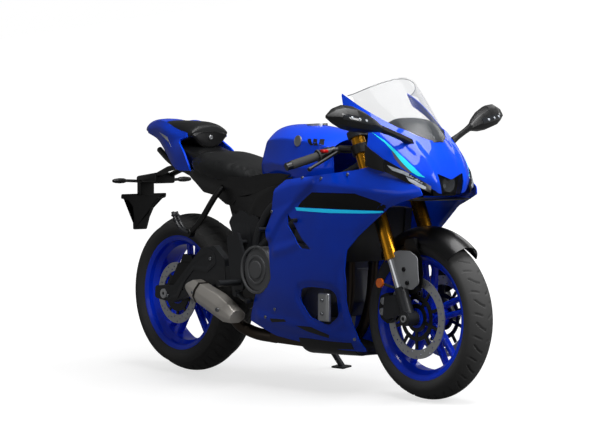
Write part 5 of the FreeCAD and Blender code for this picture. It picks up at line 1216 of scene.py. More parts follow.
@dataclass
class NoseCowl:
    """The blue nose with its crests, stripes and smoked headlamp window."""

    thickness: float = 3.2
    rows: Table = (
        ((1506, 0, 728), (1505, 45, 731), (1494, 86, 744), (1470, 123, 767), (1436, 154, 790),
         (1392, 180, 809), (1322, 194, 822), (1246, 202, 836), (1166, 206, 850)),
        ((1507, 0, 796), (1504, 44, 800), (1493, 86, 813), (1463, 122, 836), (1420, 151, 860),
         (1357, 173, 884), (1286, 188, 906), (1207, 196, 926), (1122, 198, 942)),
        ((1481, 0, 868), (1476, 42, 872), (1456, 80, 886), (1422, 112, 908), (1371, 138, 934),
         (1307, 158, 962), (1235, 173, 989), (1161, 180, 1014), (1085, 181, 1036)),
        ((1441, 0, 938), (1433, 32, 943), (1408, 62, 956), (1370, 88, 974), (1322, 112, 996),
         (1265, 134, 1025), (1204, 152, 1056), (1147, 162, 1086), (1088, 163, 1114)))
    outline: Outline = (
        (1569, 742), (1509, 742), (1504, 764), (1480, 790), (1434, 821), (1350, 867), (1262, 921),
        (1251, 985), (1180, 1030), (1110, 1064), (1092, 1104), (1092, 1160), (1569, 1160))
    outer_crest: tuple[Spot, ...] = ((1256, 175, 991), (1386, 165, 910), (1454, 140, 868), (1495, 110, 800))
    inner_crest: tuple[Spot, ...] = ((1363, 100, 970), (1430, 98, 905), (1475, 80, 850), (1512, 66, 770))
    opening: Outline = ((-62, 826), (0, 803), (62, 826), (58, 790), (46, 748), (-46, 748), (-58, 790))
    stripe: Outline = ((1263, 975), (1327, 944), (1375, 911), (1420, 877), (1453, 847), (1484, 812),
                       (1467, 817), (1448, 831), (1421, 857), (1379, 897), (1329, 936))
    bronze: Outline = ((1359, 916), (1380, 895), (1426, 853), (1449, 829), (1440, 829), (1411, 851),
                       (1383, 880))

    def lifted(self, spot: Spot) -> Spot:
        """Raises a point of the nose where a crest runs near it.

        Args:
            spot: The plain point on the left side.

        Returns:
            The point, moved outwards.
        """
        out = Vector((spot[0] - 1150, spot[1] * 1.6, (spot[2] - 760) * 0.5))
        if out.length < 1:
            return spot
        out.normalize()
        height = 0.0
        for crest, rise, reach in ((self.outer_crest, 4.0, 34.0), (self.inner_crest, 8.0, 30.0)):
            gap = min((Vector(spot) - self.near(Vector(spot), Vector(a), Vector(b))).length
                      for a, b in zip(crest, crest[1:]))
            height += rise * max(0.0, 1 - gap / reach)
        return tuple(Vector(spot) + out * height)

    def near(self, at: Vector, a: Vector, b: Vector) -> Vector:
        """Gives the nearest point of a run."""
        way = b - a
        return a + way * min(1.0, max(0.0, (at - a).dot(way) / way.length_squared))

    def build(self, bench: Bench) -> None:
        """Builds the nose, its graphics and the headlamp window.

        Args:
            bench: Where the pieces are handed over.
        """
        half = refine(self.rows, 14, 8)
        half = [[self.lifted(spot) for spot in row] for row in half]
        nose = sheet_from(whole_rows(half), "nose_cowl_skin")
        apply_modifier(nose, "SOLIDIFY", thickness=self.thickness, offset=-1.0)
        front = max(nose.data.vertices, key=lambda vertex: vertex.co.x)
        if front.normal.x < 0:
            turn_out(nose)
        cut(nose, prism(self.outline, -260, 260), Keep.INSIDE)
        plain = nose.copy()
        plain.data = nose.data.copy()
        bpy.context.scene.collection.objects.link(plain)
        cut(nose, plate([(1420, y, z) for y, z in self.opening], (160, 0, 0), 5.0, 3))
        nose = bench.hand_over(nose, BLUE_ENAMEL, ("nose_cowl",))
        ground = bench.surface([nose])
        bench.decal("turquoise_nose_stripes", self.stripe, ground, CYAN_VINYL,
                    lift=0.7, grid=7.0)
        bench.decal("bronze_nose_wedges", self.bronze, ground, BRONZE_VINYL, lift=0.6, grid=7.0)
        plain = bench.hand_over(plain, BLUE_ENAMEL)
        uncut = bench.surface([plain])
        bpy.data.objects.remove(plain, do_unlink=True)
        self.window(bench, uncut)

    def window(self, bench: Bench, uncut: BVHTree) -> None:
        """Builds the smoked window and what shows through it.

        Args:
            bench: Where the pieces are handed over.
            uncut: The nose before its opening was cut.
        """
        rows = []
        for j in range(9):
            z = 824 - j * (824 - 750) / 8
            side = 60 - 14 * j / 8
            row = []
            for i in range(13):
                y = -side + 2 * side * i / 12
                top = z - (1 - abs(y) / side) * 20 * (1 - j / 8)
                hit = uncut.ray_cast(Vector((1800.0, y, top)), Vector((-1, 0, 0)))[0]
                row.append(((hit.x if hit else 1500.0) - 3.0, y, top))
            rows.append(row)
        glass = sheet_from(rows, "headlamp_window")
        apply_modifier(glass, "SOLIDIFY", thickness=2.0, offset=-1.0)
        turn_out(glass)
        bench.hand_over(glass, SMOKED_WINDOW)
        bezel = turned(((16, 0), (24, 0), (27, 10), (24, 12), (20, 11), (16, 4), (16, 0)),
                       (1456, 0, 778), (1, 0, -0.05), "projector_bezel", 40)
        bench.hand_over(bezel, CHROME)
        dome = turned(((0, 0), (18, 0), (18, 3), (15, 9), (9, 13), (0, 15)), (1457, 0, 778), (1, 0, -0.05),
                      "projector_lens", 40)
        bench.hand_over(dome, LENS_GLASS)


@dataclass
class StripLamps:
    """The long lamps beside the nose: light strips under a clear cover, set in black."""

    upper: Outline = ((1369, 856), (1397, 847), (1433, 834), (1462, 819), (1491, 791), (1485, 789),
                      (1460, 808), (1429, 825), (1391, 837))
    lower: Outline = ((1440, 816), (1470, 798), (1492, 779), (1494, 770), (1488, 772), (1470, 786),
                      (1450, 801))

    def build(self, bench: Bench, lamps: Piece) -> None:
        """Lays the light strips on the lamps' black faces.

        Args:
            bench: Where the pieces are handed over.
            lamps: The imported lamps.
        """
        ground = bench.surface([lamps])
        for name, outline in (("upper_light_strips", self.upper), ("lower_light_strips", self.lower)):
            bench.decal(name, outline, ground, LIGHT_STRIP, lift=1.0, grid=6.0)


@dataclass
class TankCover:
    """The blue tank cover with its shoulder lines, vents and plain badges."""

    sections: Table = (
        rib(536, (0, 880), (40, 878), (62, 868), (78, 848), (84, 822), (80, 800)),
        ((548, 0, 962), (548, 44, 956), (550, 80, 925), (550, 98, 880), (545, 102, 840), (545, 96, 798)),
        rib(600, (0, 994), (62, 984), (108, 934), (106, 890), (112, 850), (104, 800)),
        rib(680, (0, 1001), (72, 988), (121, 944), (126, 880), (130, 845), (118, 796)),
        rib(770, (0, 1000), (80, 982), (132, 941), (138, 870), (144, 838), (134, 792)),
        rib(850, (0, 993), (84, 974), (136, 936), (144, 868), (150, 834), (142, 790)),
        rib(925, (0, 974), (84, 956), (132, 924), (132, 868), (134, 832), (128, 796)),
        rib(972, (0, 948), (70, 932), (108, 905), (98, 868), (98, 836), (94, 806)))
    badge: Flat = (807, 934)
    vents: tuple[Outline, ...] = tuple(
        ((853 + k * 26, 942), (870 + k * 26, 941), (896 + k * 22, 920), (880 + k * 22, 919))
        for k in range(3))

    def build(self, bench: Bench) -> None:
        """Builds the cover with its vents and badges.

        Args:
            bench: Where the pieces are handed over.
        """
        def mark(y: float, z: float) -> Flat:
            """Names a place by its distance from the middle and its height."""
            return round(abs(y), 1), round(z, 1)

        cover = sheet_from(whole_rows(self.sections), "tank_cover")
        take(cover)
        bpy.ops.object.mode_set(mode="EDIT")
        bpy.ops.mesh.select_mode(type="EDGE")
        bpy.ops.mesh.select_all(action="DESELECT")
        work = bmesh.from_edit_mesh(cover.data)
        marks = {mark(y, z) for row in self.sections for _, y, z in (row[2], row[4])}
        for edge in work.edges:
            edge.select_set(all(mark(end.co.y, end.co.z) in marks for end in edge.verts))
        bmesh.update_edit_mesh(cover.data)
        bpy.ops.transform.edge_crease(value=0.9)
        bpy.ops.object.mode_set(mode="OBJECT")
        apply_modifier(cover, "SUBSURF", levels=4, render_levels=4)
        top = max(cover.data.polygons, key=lambda face: face.center.z)
        if top.normal.z < 0:
            edit_all(cover)
            bpy.ops.mesh.flip_normals()
            bpy.ops.object.mode_set(mode="OBJECT")
        apply_modifier(cover, "SOLIDIFY", thickness=3.0, offset=-1.0)
        cover = bench.hand_over(cover, BLUE_ENAMEL, ("fuel_tank",))
        ground = bench.surface([cover])
        for number, vent in enumerate(self.vents):
            bench.decal("tank_vent_" + str(number + 1), vent, ground, BLACK_ABS,
                        lift=0.8, grid=6.0)
        hit, normal = met(ground, *self.badge)
        badges = [turned(((0, -2), (21, -2), (21, 2.0), (19.5, 3.2), (18, 2.6), (17, 1.8), (0, 2.2)),
                         (hit.x, hit.y * side, hit.z), (normal.x, normal.y * side, normal.z), "plain_badge", 40)
                  for side in (1, -1)]
        badge = join(badges)
        badge.name = "plain_tank_badges"
        bench.hand_over(badge, SILVER_ALLOY)


@dataclass
class SeatPads:
    """The rider's and the pillion's padded seats."""

    voxel_m: float = 0.006
    pressure: float = 4.0
    frames: int = 20
    still_m: float = 0.03
    rider: Table = (
        rib(131, (0, 850), (6, 849), (10, 847), (11, 845), (10, 843)),
        rib(132, (0, 872), (60, 871), (100, 858), (116, 842), (110, 822)),
        rib(190, (0, 878), (66, 875), (120, 856), (138, 830), (132, 794)),
        rib(260, (0, 878), (66, 873), (126, 848), (146, 820), (140, 784)),
        rib(340, (0, 862), (62, 858), (122, 838), (142, 808), (136, 770)),
        rib(430, (0, 834), (52, 831), (104, 818), (126, 798), (120, 758)),
        rib(505, (0, 810), (44, 808), (80, 801), (100, 790), (94, 758)),
        rib(532, (0, 800), (40, 799), (70, 795), (86, 786), (82, 760)))
    pillion: Table = (
        rib(109, (0, 968), (6, 967), (10, 965), (12, 963), (10, 961)),
        rib(108, (0, 976), (44, 972), (74, 963), (90, 954), (87, 949)),
        rib(98, (0, 986), (48, 982), (80, 969), (96, 954), (92, 942)),
        rib(72, (0, 992), (52, 988), (84, 973), (99, 954), (95, 925)),
        rib(20, (0, 996), (56, 993), (88, 976), (100, 950), (97, 922)),
        rib(-40, (0, 998), (56, 995), (86, 980), (97, 955), (94, 932)),
        rib(-110, (0, 998), (46, 995), (74, 982), (82, 962), (80, 946)),
        rib(-182, (0, 992), (30, 990), (46, 982), (50, 970), (48, 962)))

    def pad(self, sections: Sequence[Sequence[Spot]], name: str) -> Piece:
        """Shapes one closed pad through its sections.

        Args:
            sections: Half sections from the top middle down to the base.
            name: The object's name.

        Returns:
            The closed pad.
        """
        rows = []
        for row in refine(sections, 6, 5):
            base = row[-1]
            closing = [(base[0], base[1] * (1 - k / 6), base[2] + 2) for k in range(1, 6)]
            right = row + closing + [(base[0], 0.0, base[2] + 2)]
            rows.append(right + [(x, -y, z) for x, y, z in reversed(right[1:-1])] + [right[0]])
        pad = sheet_from(rows, name)
        close_ends(pad, in_triangles=True)
        return pad

    def inflate(self, pad: Piece, cap: float) -> Piece:
        """Lets the cover of a pad swell over its foam.

        Args:
            pad: The closed pad in upright millimetres.
            cap: How far a point may move.

        Returns:
            The swollen pad.
        """
        pad.scale = (MM, MM, MM)
        settle_shape(pad)
        apply_modifier(pad, "REMESH", mode="VOXEL", voxel_size=self.voxel_m)
        apply_modifier(pad, "SMOOTH", factor=0.5, iterations=3)
        rest = [vertex.co.copy() for vertex in pad.data.vertices]
        take(pad)
        modifier = pad.modifiers.new("cover", "CLOTH")
        settings = modifier.settings
        settings.quality = 4
        settings.use_pressure = True
        settings.uniform_pressure_force = self.pressure
        settings.effector_weights.gravity = 0.0
        for number in range(1, self.frames + 1):
            bpy.context.scene.frame_set(number)
        bpy.ops.object.modifier_apply(modifier=modifier.name)
        bpy.context.scene.frame_set(1)
        base = min(place.z for place in rest)
        for vertex, place in zip(pad.data.vertices, rest):
            move = vertex.co - place
            if move.length > cap * MM:
                move = move.normalized() * cap * MM
            keep = min(1.0, max(0.0, (place.z - base) / self.still_m))
            vertex.co = place + move * keep
        apply_modifier(pad, "SUBSURF", levels=1, render_levels=1)
        pad.scale = (1 / MM, 1 / MM, 1 / MM)
        settle_shape(pad)
        return pad

    def build(self, bench: Bench) -> None:
        """Builds both seats.

        Args:
            bench: Where the pieces are handed over.
        """
        rider = self.inflate(self.pad(self.rider, "rider_seat_cover"), 5.0)
        bench.hand_over(rider, SEAT_VINYL, ("rider_seat",))
        pillion = self.inflate(self.pad(self.pillion, "pillion_seat_cover"), 4.0)
        bench.hand_over(pillion, SEAT_VINYL, ("pillion_seat",))


@dataclass
class TailWings:
    """The blue wings of the tail with their pale streaks."""

    wing: Table = (
        ((-196, 72, 986), (-125, 84, 1002), (-66, 93, 998), (10, 100, 973), (80, 99, 955)),
        ((-203, 76, 970), (-128, 92, 974), (-58, 106, 962), (14, 109, 946), (82, 103, 938)),
        ((-204, 76, 960), (-130, 88, 944), (-58, 104, 924), (6, 112, 914), (48, 113, 922)),
        ((-205, 75, 954), (-129, 86, 934), (-60, 102, 902), (26, 121, 868), (98, 130, 878)),
        ((-205, 74, 950), (-128, 84, 925), (-62, 98, 880), (38, 122, 812), (138, 128, 806)))
    streak: Outline = ((-100, 955), (-34, 938), (-22, 921), (-2, 899), (-22, 916), (-60, 934))

    def build(self, bench: Bench) -> None:
        """Builds the wings.

        Args:
            bench: Where the pieces are handed over.
        """
        wing = sheet_from(refine(self.wing, 8, 8), "tail_wing_skins")
        apply_modifier(wing, "SOLIDIFY", thickness=8.0, offset=-1.0)
        turn_out(wing)
        wings = bench.hand_over(mirrored(wing), BLUE_ENAMEL, ("tail_cowl",))
        bench.decal("wing_streaks", self.streak, bench.surface([wings]), PALE_VINYL)


@dataclass(frozen=True)
class PressedPanel:
    """A thin side panel, given by its outline in the side view and how far out it stands."""

    name: str
    outline: Outline
    across: float
    lean_x: float = 0.0
    lean_z: float = 0.0
    bulge: float = 0.0
    creases: tuple[Ridge | Step, ...] = ()
    thickness: float = 3.0
    corner: float = 6.0
    grid: float = 9.0

    def shape(self) -> Piece:
        """Shapes the panel on the right side.

        Returns:
            The closed panel in upright millimetres.
        """
        xs, zs = [p[0] for p in self.outline], [p[1] for p in self.outline]
        low_x, high_x, low_z, high_z = min(xs) - 10, max(xs) + 10, min(zs) - 10, max(zs) + 10
        mid_x, mid_z = (low_x + high_x) / 2, (low_z + high_z) / 2
        columns, lines = int((high_x - low_x) / self.grid) + 1, int((high_z - low_z) / self.grid) + 1
        rows = []
        for j in range(lines + 1):
            z = low_z + (high_z - low_z) * j / lines
            row = []
            for i in range(columns + 1):
                x = low_x + (high_x - low_x) * i / columns
                round_off = ((x - mid_x) / (high_x - low_x)) ** 2 + ((z - mid_z) / (high_z - low_z)) ** 2
                out = (self.across + self.lean_x * (x - mid_x) + self.lean_z * (z - mid_z)
                       - self.bulge * round_off * 4 + sum(c.lift((x, z)) for c in self.creases))
                row.append((x, -out, z))
            rows.append(row)
        panel = sheet_from(rows, self.name)
        apply_modifier(panel, "SOLIDIFY", thickness=self.thickness, offset=-1.0)
        cut(panel, prism(self.outline, -400, 0, self.corner), Keep.INSIDE)
        return panel


@dataclass
class SeatTrim:
    """The black panels under the seat and over the frame."""

    under_seat: PressedPanel = PressedPanel(
        "under_seat_panels",
        ((78, 818), (133, 814), (334, 790), (498, 788), (560, 800), (627, 808), (700, 810), (768, 806),
         (690, 762), (563, 731), (433, 712), (384, 676), (345, 680), (290, 712), (209, 724), (160, 762)),
        128.0, lean_x=0.03, lean_z=0.14, bulge=6.0,
        creases=(Ridge(((160, 790), (330, 755), (500, 742), (600, 758), (740, 790)), 6.0, 30.0),))
    upper_cover: PressedPanel = PressedPanel(
        "upper_side_covers",
        ((400, 663), (430, 712), (500, 716), (565, 733), (640, 756), (704, 768), (730, 788), (788, 800),
         (740, 765), (700, 738), (655, 643), (628, 622), (578, 640), (505, 640)),
        136.0, lean_x=0.05, lean_z=0.06, bulge=5.0,
        creases=(Ridge(((505, 640), (540, 690), (640, 735), (740, 790)), 7.0, 26.0),
                 Step(((430, 700), (560, 712), (520, 655), (420, 668)), -4.0, 10.0)))
    frame_cover: PressedPanel = PressedPanel(
        "frame_pivot_covers",
        ((406, 648), (500, 636), (516, 608), (526, 491), (484, 480), (402, 590), (383, 613)),
        138.0, lean_z=-0.05, bulge=8.0, thickness=5.0,
        creases=(Step(((420, 632), (488, 622), (500, 600), (506, 520), (488, 512), (420, 596)), -3.0, 8.0),))
    inner: PressedPanel = PressedPanel(
        "inner_frame_panels",
        ((296, 745), (330, 690), (352, 640), (396, 570), (470, 480), (640, 480), (660, 640), (600, 745)),
        90.0, bulge=3.0)

    def build(self, bench: Bench) -> None:
        """Builds the panels on both sides.

        Args:
            bench: Where the pieces are handed over.
        """
        bench.hand_over(mirrored(self.under_seat.shape()), BLACK_ABS, ("side_covers",))
        bench.hand_over(mirrored(self.upper_cover.shape()), BLACK_ABS)
        bench.hand_over(mirrored(self.frame_cover.shape()), GREY_PAINT)
        bench.hand_over(mirrored(self.inner.shape()), BLACK_ABS)


@dataclass
class TailCentre:
    """The panel before the pillion's seat with its button, the bridge behind it, the shell and the lamp."""

    panel: Table = (
        rib(46, (0, 962), (46, 958), (82, 944), (70, 922), (38, 901), (12, 893)),
        rib(97, (0, 965), (46, 962), (87, 949), (73, 925), (40, 901), (14, 892)),
        rib(107, (0, 958), (40, 956), (74, 945), (62, 927), (34, 908), (11, 900)))
    bridge: Table = (
        ((-110, 0, 1002), (-110, 50, 1000), (-110, 84, 990), (-112, 92, 974), (-116, 74, 955)),
        ((-160, 0, 1009), (-160, 44, 1006), (-160, 74, 994), (-162, 82, 972), (-166, 62, 950)),
        ((-215, 0, 1004), (-215, 36, 1000), (-215, 60, 986), (-218, 64, 966), (-222, 46, 948)),
        ((-262, 0, 986), (-262, 22, 984), (-262, 36, 974), (-265, 38, 962), (-268, 26, 952)),
        ((-286, 0, 972), (-286, 9, 971), (-286, 13, 967), (-287, 13, 961), (-288, 9, 956)))
    shell: Table = (
        rib(-160, (0, 955), (30, 954), (52, 950), (58, 942), (54, 926)),
        rib(-60, (0, 925), (45, 925), (82, 918), (92, 905), (88, 872)),
        rib(20, (0, 912), (60, 912), (92, 904), (103, 885), (100, 828)),
        rib(84, (0, 900), (60, 899), (98, 888), (110, 866), (106, 812)),
        rib(150, (0, 884), (56, 882), (90, 870), (104, 850), (100, 804)))

    def build(self, bench: Bench) -> None:
        """Builds the panel, the bridge, the shell, the lamp and the button.

        Args:
            bench: Where the pieces are handed over.
        """
        for table, name, finish, slot, stands_for in (
                (self.panel, "seat_front_panel", BLACK_GLOSS, "black_panel", ()),
                (self.bridge, "tail_bridge", BLUE_ENAMEL, "blue_paint", ()),
                (self.shell, "seat_rear_shell", BLACK_ABS, "black_panel", ("tail_tray",))):
            piece = sheet_from([row + [row[0]] for row in whole_rows(refine(table, 5, 5))], name)
            close_ends(piece)
            bench.hand_over(piece, finish, stands_for)
        lamp = box("tail_lamp", (-278, 0, 962), (18, 34, 12))
        round_edges(lamp, 4.0)
        bench.hand_over(lamp, RED_SWITCH)
        bench.bolts("seat_button", [((106, 0, 936), (1, 0, 0), 9.5)], SILVER_ALLOY)


@dataclass
class EngineDetails:
    """Rings and bolts on the right and left of the engine."""

    cover_centre: Flat = (640, 443)
    rings: tuple[Spot, ...] = ((92, 82, 5), (56, 46, 4), (34, 0, 6))
    bolt_circle: float = 98
    bolt_count: int = 10
    cover_deep: float = 40
    frame_bolts: tuple[Spot, ...] = ((549, 412, 13.0), (520, 520, 8.0), (470, 560, 7.0), (440, 610, 7.0))

    def ring(self, centre: Flat, face: float, side: int, outer: float, inner: float, rise: float,
             name: str) -> Piece:
        """Turns a raised ring that stands on a cover.

        Args:
            centre: Its middle in the side view.
            face: How far out the cover's face stands.
            side: -1 on the right, 1 on the left.
            outer: Its outer radius.
            inner: Its inner radius, 0 for a disc.
            rise: How far it stands off the cover.
            name: The object's name.

        Returns:
            The ring.
        """
        edge = min(2.0, rise * 0.4)
        if inner > 0:
            profile = ((inner, -2), (outer, -2), (outer, rise - edge), (outer - edge, rise),
                       (inner + edge, rise), (inner, rise - edge), (inner, -2))
        else:
            profile = ((0, -2), (outer, -2), (outer, rise - edge), (outer - edge, rise), (0, rise))
        return turned(profile, (centre[0], side * face, centre[1]), (0, side, 0), name, 48)

    def build(self, bench: Bench, engine: BVHTree) -> None:
        """Builds the rings and bolts.

        Args:
            bench: Where the pieces are handed over.
            engine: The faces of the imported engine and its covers.
        """
        spots = []
        pieces = []
        x, z = self.cover_centre
        for side in (-1, 1):
            hit, _ = met(engine, x, z, side)
            face = abs(hit.y) if hit else 200.0
            for outer, inner, rise in self.rings:
                pieces.append(self.ring(self.cover_centre, face, side, outer, inner, rise, "cover_rings"))
            for k in range(self.bolt_count):
                angle = 2 * math.pi * (k + 0.35) / self.bolt_count
                spot, _ = met(engine, x + self.bolt_circle * math.cos(angle),
                              z + self.bolt_circle * math.sin(angle), side)
                if spot and abs(spot.y) > face - self.cover_deep:
                    spots.append(((spot.x, spot.y, spot.z), (0, side, 0), 5.5))
        rings = join(pieces)
        rings.name = "engine_cover_rings"
        bench.hand_over(rings, CAST_GREY)
        for x, z, radius in self.frame_bolts:
            hit, _ = met(engine, x, z)
            if hit:
                spots.append(((hit.x, hit.y, hit.z), (0, -1, 0), radius))
        bench.bolts("engine_cover_bolts", spots, ZINC)


@dataclass
class Silencer:
    """The short faceted silencer with its dark outlet, strap and bolt."""

    rear: Spot = (238, -190, 356)
    front: Spot = (520, -188, 250)
    stations: tuple[tuple[float, float, float, float], ...] = (
        (-24, 20, 5, 19), (-19, 26, 12, 24), (14, 37, 38, 33), (26, 39, 40, 36), (172, 41, 46, 40),
        (240, 41, 38, 41), (284, 39, 29, 27), (292, 37, 27, 22))
    corners: Outline = ((1.0, 0.28), (0.62, 1.0), (-0.5, 1.0), (-1.0, 0.4), (-0.95, -0.45), (-0.45, -1.0),
                        (0.55, -1.0), (1.0, -0.35))
    strap: Outline = ((52, 0.2), (53, 1.8), (62, 1.8), (63, 0.2))

    def ways(self) -> tuple[Vector, Vector]:
        """Gives the silencer's axis to the front and its own way up."""
        axis = (Vector(self.front) - Vector(self.rear)).normalized()
        up = axis.cross(Vector((0, 1, 0))).normalized()
        return axis, -up if up.z < 0 else up

    def section(self, way: float, wide: float, top: float, low: float) -> list[Spot]:
        """Gives the closed section at a place.

        Args:
            way: Distance along the axis from the rear.
            wide: Half its width.
            top: Its height over the axis.
            low: Its depth under the axis.

        Returns:
            Its corners, with the first one again at the end.
        """
        axis, up = self.ways()
        ring = [tuple(Vector(self.rear) + axis * way + Vector((0, 1, 0)) * (-a * wide)
                      + up * (b * (top if b > 0 else low))) for a, b in self.corners]
        return ring + [ring[0]]

    def build(self, bench: Bench) -> None:
        """Builds the silencer with its outlet, strap and bolts.

        Args:
            bench: Where the pieces are handed over.
        """
        axis, up = self.ways()
        body = sheet_from([self.section(*station) for station in self.stations], "silencer_skin")
        close_ends(body)
        apply_modifier(body, "BEVEL", width=5.0, segments=3, limit_method="ANGLE",
                       angle_limit=math.radians(22))
        bench.hand_over(body, BRUSHED_STEEL, ("silencer",), smooth_deg=30)
        mouth = turned(((13, 0), (16, 0), (16, 5), (13, 5), (11.5, 1), (0, 0.5)),
                       tuple(Vector(self.rear) - axis * 24 - up * 7), tuple(-axis),
                       "silencer_outlet", 36)
        bench.hand_over(mouth, DARK_STEEL)
        strap = sheet_from([self.section(way, 39.6 + grow, 41.5 + grow, 36.8 + grow)
                            for way, grow in self.strap], "silencer_strap")
        turn_out(strap, SEAM)
        bench.hand_over(strap, DARK_STEEL, smooth_deg=25)
        spot = Vector(self.rear) + axis * 215 - Vector((0, 40.5, 0))
        bench.bolts("silencer_bolts", [(tuple(spot), (0, -1, 0), 9.0),
                                       (tuple(spot - axis * 165), (0, -1, 0), 6.0)], ZINC)


@dataclass
class Mirrors:
    """The mirrors: a black arm and pod, the glass behind and a light lens in front."""

    sections: tuple[tuple[Spot, float, float], ...] = (
        ((1400, 100, 936), 18, 16), ((1392, 140, 955), 12, 13), ((1380, 186, 974), 12, 13),
        ((1368, 222, 988), 16, 15), ((1362, 242, 997), 26, 24), ((1352, 280, 1009), 38, 38),
        ((1342, 328, 1022), 45, 46), ((1333, 372, 1030), 42, 43), ((1325, 404, 1033), 28, 29),
        ((1318, 434, 1031), 7, 5))
    outline: Outline = ((1.0, -0.1), (0.52, 0.72), (-0.1, 1.0), (-0.5, 0.86), (-0.58, -0.8), (-0.2, -1.0),
                        (0.6, -0.74))
    before_x: float = 1700
    behind_x: float = 1000
    steps: int = 12

    def lens_line(self, i: int) -> Flat:
        """Gives a point of the light lens's line, y and z, of which 0 is the inner end."""
        return -(272 + i * 118 / self.steps), 1004 + (i / self.steps) * 22

    def lay(self, name: str, places: Sequence[Sequence[Flat]], ground: BVHTree, ray_x: float, miss_x: float,
            lift: float) -> Piece:
        """Lays a thin sheet on the pods, from before them or from behind.

        Args:
            name: The object's name.
            places: Rows of its points on the right pod, y and z.
            ground: The pods.
            ray_x: Where the rays start.
            miss_x: Where a point stays whose ray misses.
            lift: How far the sheet stands off.

        Returns:
            The sheet on both sides.
        """
        way = Vector((math.copysign(1.0, miss_x - ray_x), 0, 0))
        rows = []
        for line in places:
            row = []
            for y, z in line:
                hit, normal, _, _ = ground.ray_cast(Vector((ray_x, y, z)), way)
                row.append(tuple(hit + normal * lift) if hit else (miss_x, y, z))
            rows.append(row)
        sheet = sheet_from(rows, name)
        apply_modifier(sheet, "SOLIDIFY", thickness=0.6, offset=0.0)
        turn_out(sheet)
        return mirrored(sheet)

    def build(self, bench: Bench) -> None:
        """Builds both mirrors.

        Args:
            bench: Where the pieces are handed over.
        """
        rows = []
        for (x, y, z), deep, tall in self.sections:
            ring = [(x + a * deep, -y, z + b * tall) for a, b in self.outline]
            rows.append(ring + [ring[0]])
        pod = sheet_from(rows, "mirror_pods")
        close_ends(pod)
        apply_modifier(pod, "BEVEL", width=3.5, segments=3, limit_method="ANGLE",
                       angle_limit=math.radians(12))
        pods = bench.hand_over(mirrored(pod), BLACK_ABS, ("mirrors",))
        ground = bench.surface([pods])
        line = [self.lens_line(i) for i in range(self.steps + 1)]
        lens = self.lay("mirror_light_lens", [[(y, z + j * 5.0 - 4) for y, z in line] for j in range(5)],
                        ground, self.before_x, 1340, 0.8)
        bench.hand_over(lens, SMOKED_LENS)
        spots = []
        for y, z in line[3:10:3]:
            hit, normal, _, _ = ground.ray_cast(Vector((self.before_x, y, z + 6)), Vector((-1, 0, 0)))
            if hit:
                spots.append(turned(((0, 0), (5, 0), (5, 1.2), (3, 2.2), (0, 2.6)),
                                    tuple(hit + normal * 0.9), tuple(normal), "mirror_light_spot", 20))
        dots = join(spots)
        dots.name = "mirror_light_spots"
        bench.hand_over(mirrored(dots), LIGHT_STRIP)
        places = []
        for j in range(9):
            row = []
            for i in range(self.steps + 1):
                tall = 52 * math.sin(math.pi * (i + 1.2) / 14.4) ** 0.5
                row.append((-(246 + i * 164 / self.steps), 1002 + (i / self.steps) * 38 + (j / 8 - 0.5) * tall))
            places.append(row)
        glass = self.lay("mirror_glass", places, ground, self.behind_x, 1316, 0.7)
        bench.hand_over(glass, CHROME)


@dataclass
class PlateHolder:
    """The black licence arm with its blank holder, lamp hood and indicator pods."""

    holder: Outline = ((-112, 700), (112, 700), (112, 682), (78, 674), (52, 646), (40, 600), (32, 552),
                       (-32, 552), (-40, 600), (-52, 646), (-78, 674), (-112, 682))

    def build(self, bench: Bench) -> None:
        """Builds the holder, its arm and the indicators.

        Args:
            bench: Where the pieces are handed over.
        """
        holder = plate([(-338 - (700 - z) * 0.19, y, z) for y, z in self.holder], (9, 0, 0), 5.0, 3)
        turn_out(holder)
        edit_faces(holder, lambda middle, normal: abs(normal.x) > 0.9)
        bpy.ops.mesh.inset(thickness=6.0)
        bpy.ops.mesh.inset(thickness=1.5, depth=-2.5)
        bpy.ops.object.mode_set(mode="OBJECT")
        neck = box("licence_neck", (-322, 0, 728), (26, 76, 72))
        hood = box("licence_hood", (-262, 0, 768), (150, 104, 46))
        edit_faces(hood, lambda middle, normal: normal.x < -0.9)
        bpy.ops.transform.resize(value=(1.0, 0.75, 0.55))
        bpy.ops.transform.translate(value=(0, 0, -8))
        bpy.ops.object.mode_set(mode="OBJECT")
        body = [holder, neck, hood]
        for block in (neck, hood):
            round_edges(block, 9.0)
        for side in (-1, 1):
            body.append(tube([(-206, side * 34, 776), (-120, side * 38, 806), (-20, side * 44, 824),
                              (30, side * 46, 826)], 11.0, "licence_arm", round_path=False))
        frame = join(body)
        frame.name = "licence_holder"
        bench.hand_over(frame, BLACK_ABS, ("licence_bracket",))
        pods = []
        for side in (-1, 1):
            pods.append(turned(((0, 0), (7, 2), (10, 12), (11, 34), (9, 56), (6, 66), (0, 70)),
                               (-278, side * 132, 757), (0, side, 0), "indicator_pod", 28))
            pods.append(tube([(-290, side * 48, 752), (-284, side * 90, 755), (-278, side * 138, 757)], 6.5,
                             "indicator_stalk"))
        lamps = join(pods)
        lamps.name = "indicator_pods"
        bench.hand_over(lamps, BLACK_ABS, ("rear_indicators",))
        lenses = []
        for side in (-1, 1):
            lenses.append(turned(((0, 0), (5, 1), (8, 10), (9, 24), (7, 38), (0, 44)), (-285, side * 144, 757),
                                 (0, side, 0), "indicator_lens", 28))
        lens = join(lenses)
        lens.name = "indicator_lenses"
        bench.hand_over(lens, SMOKED_LENS)


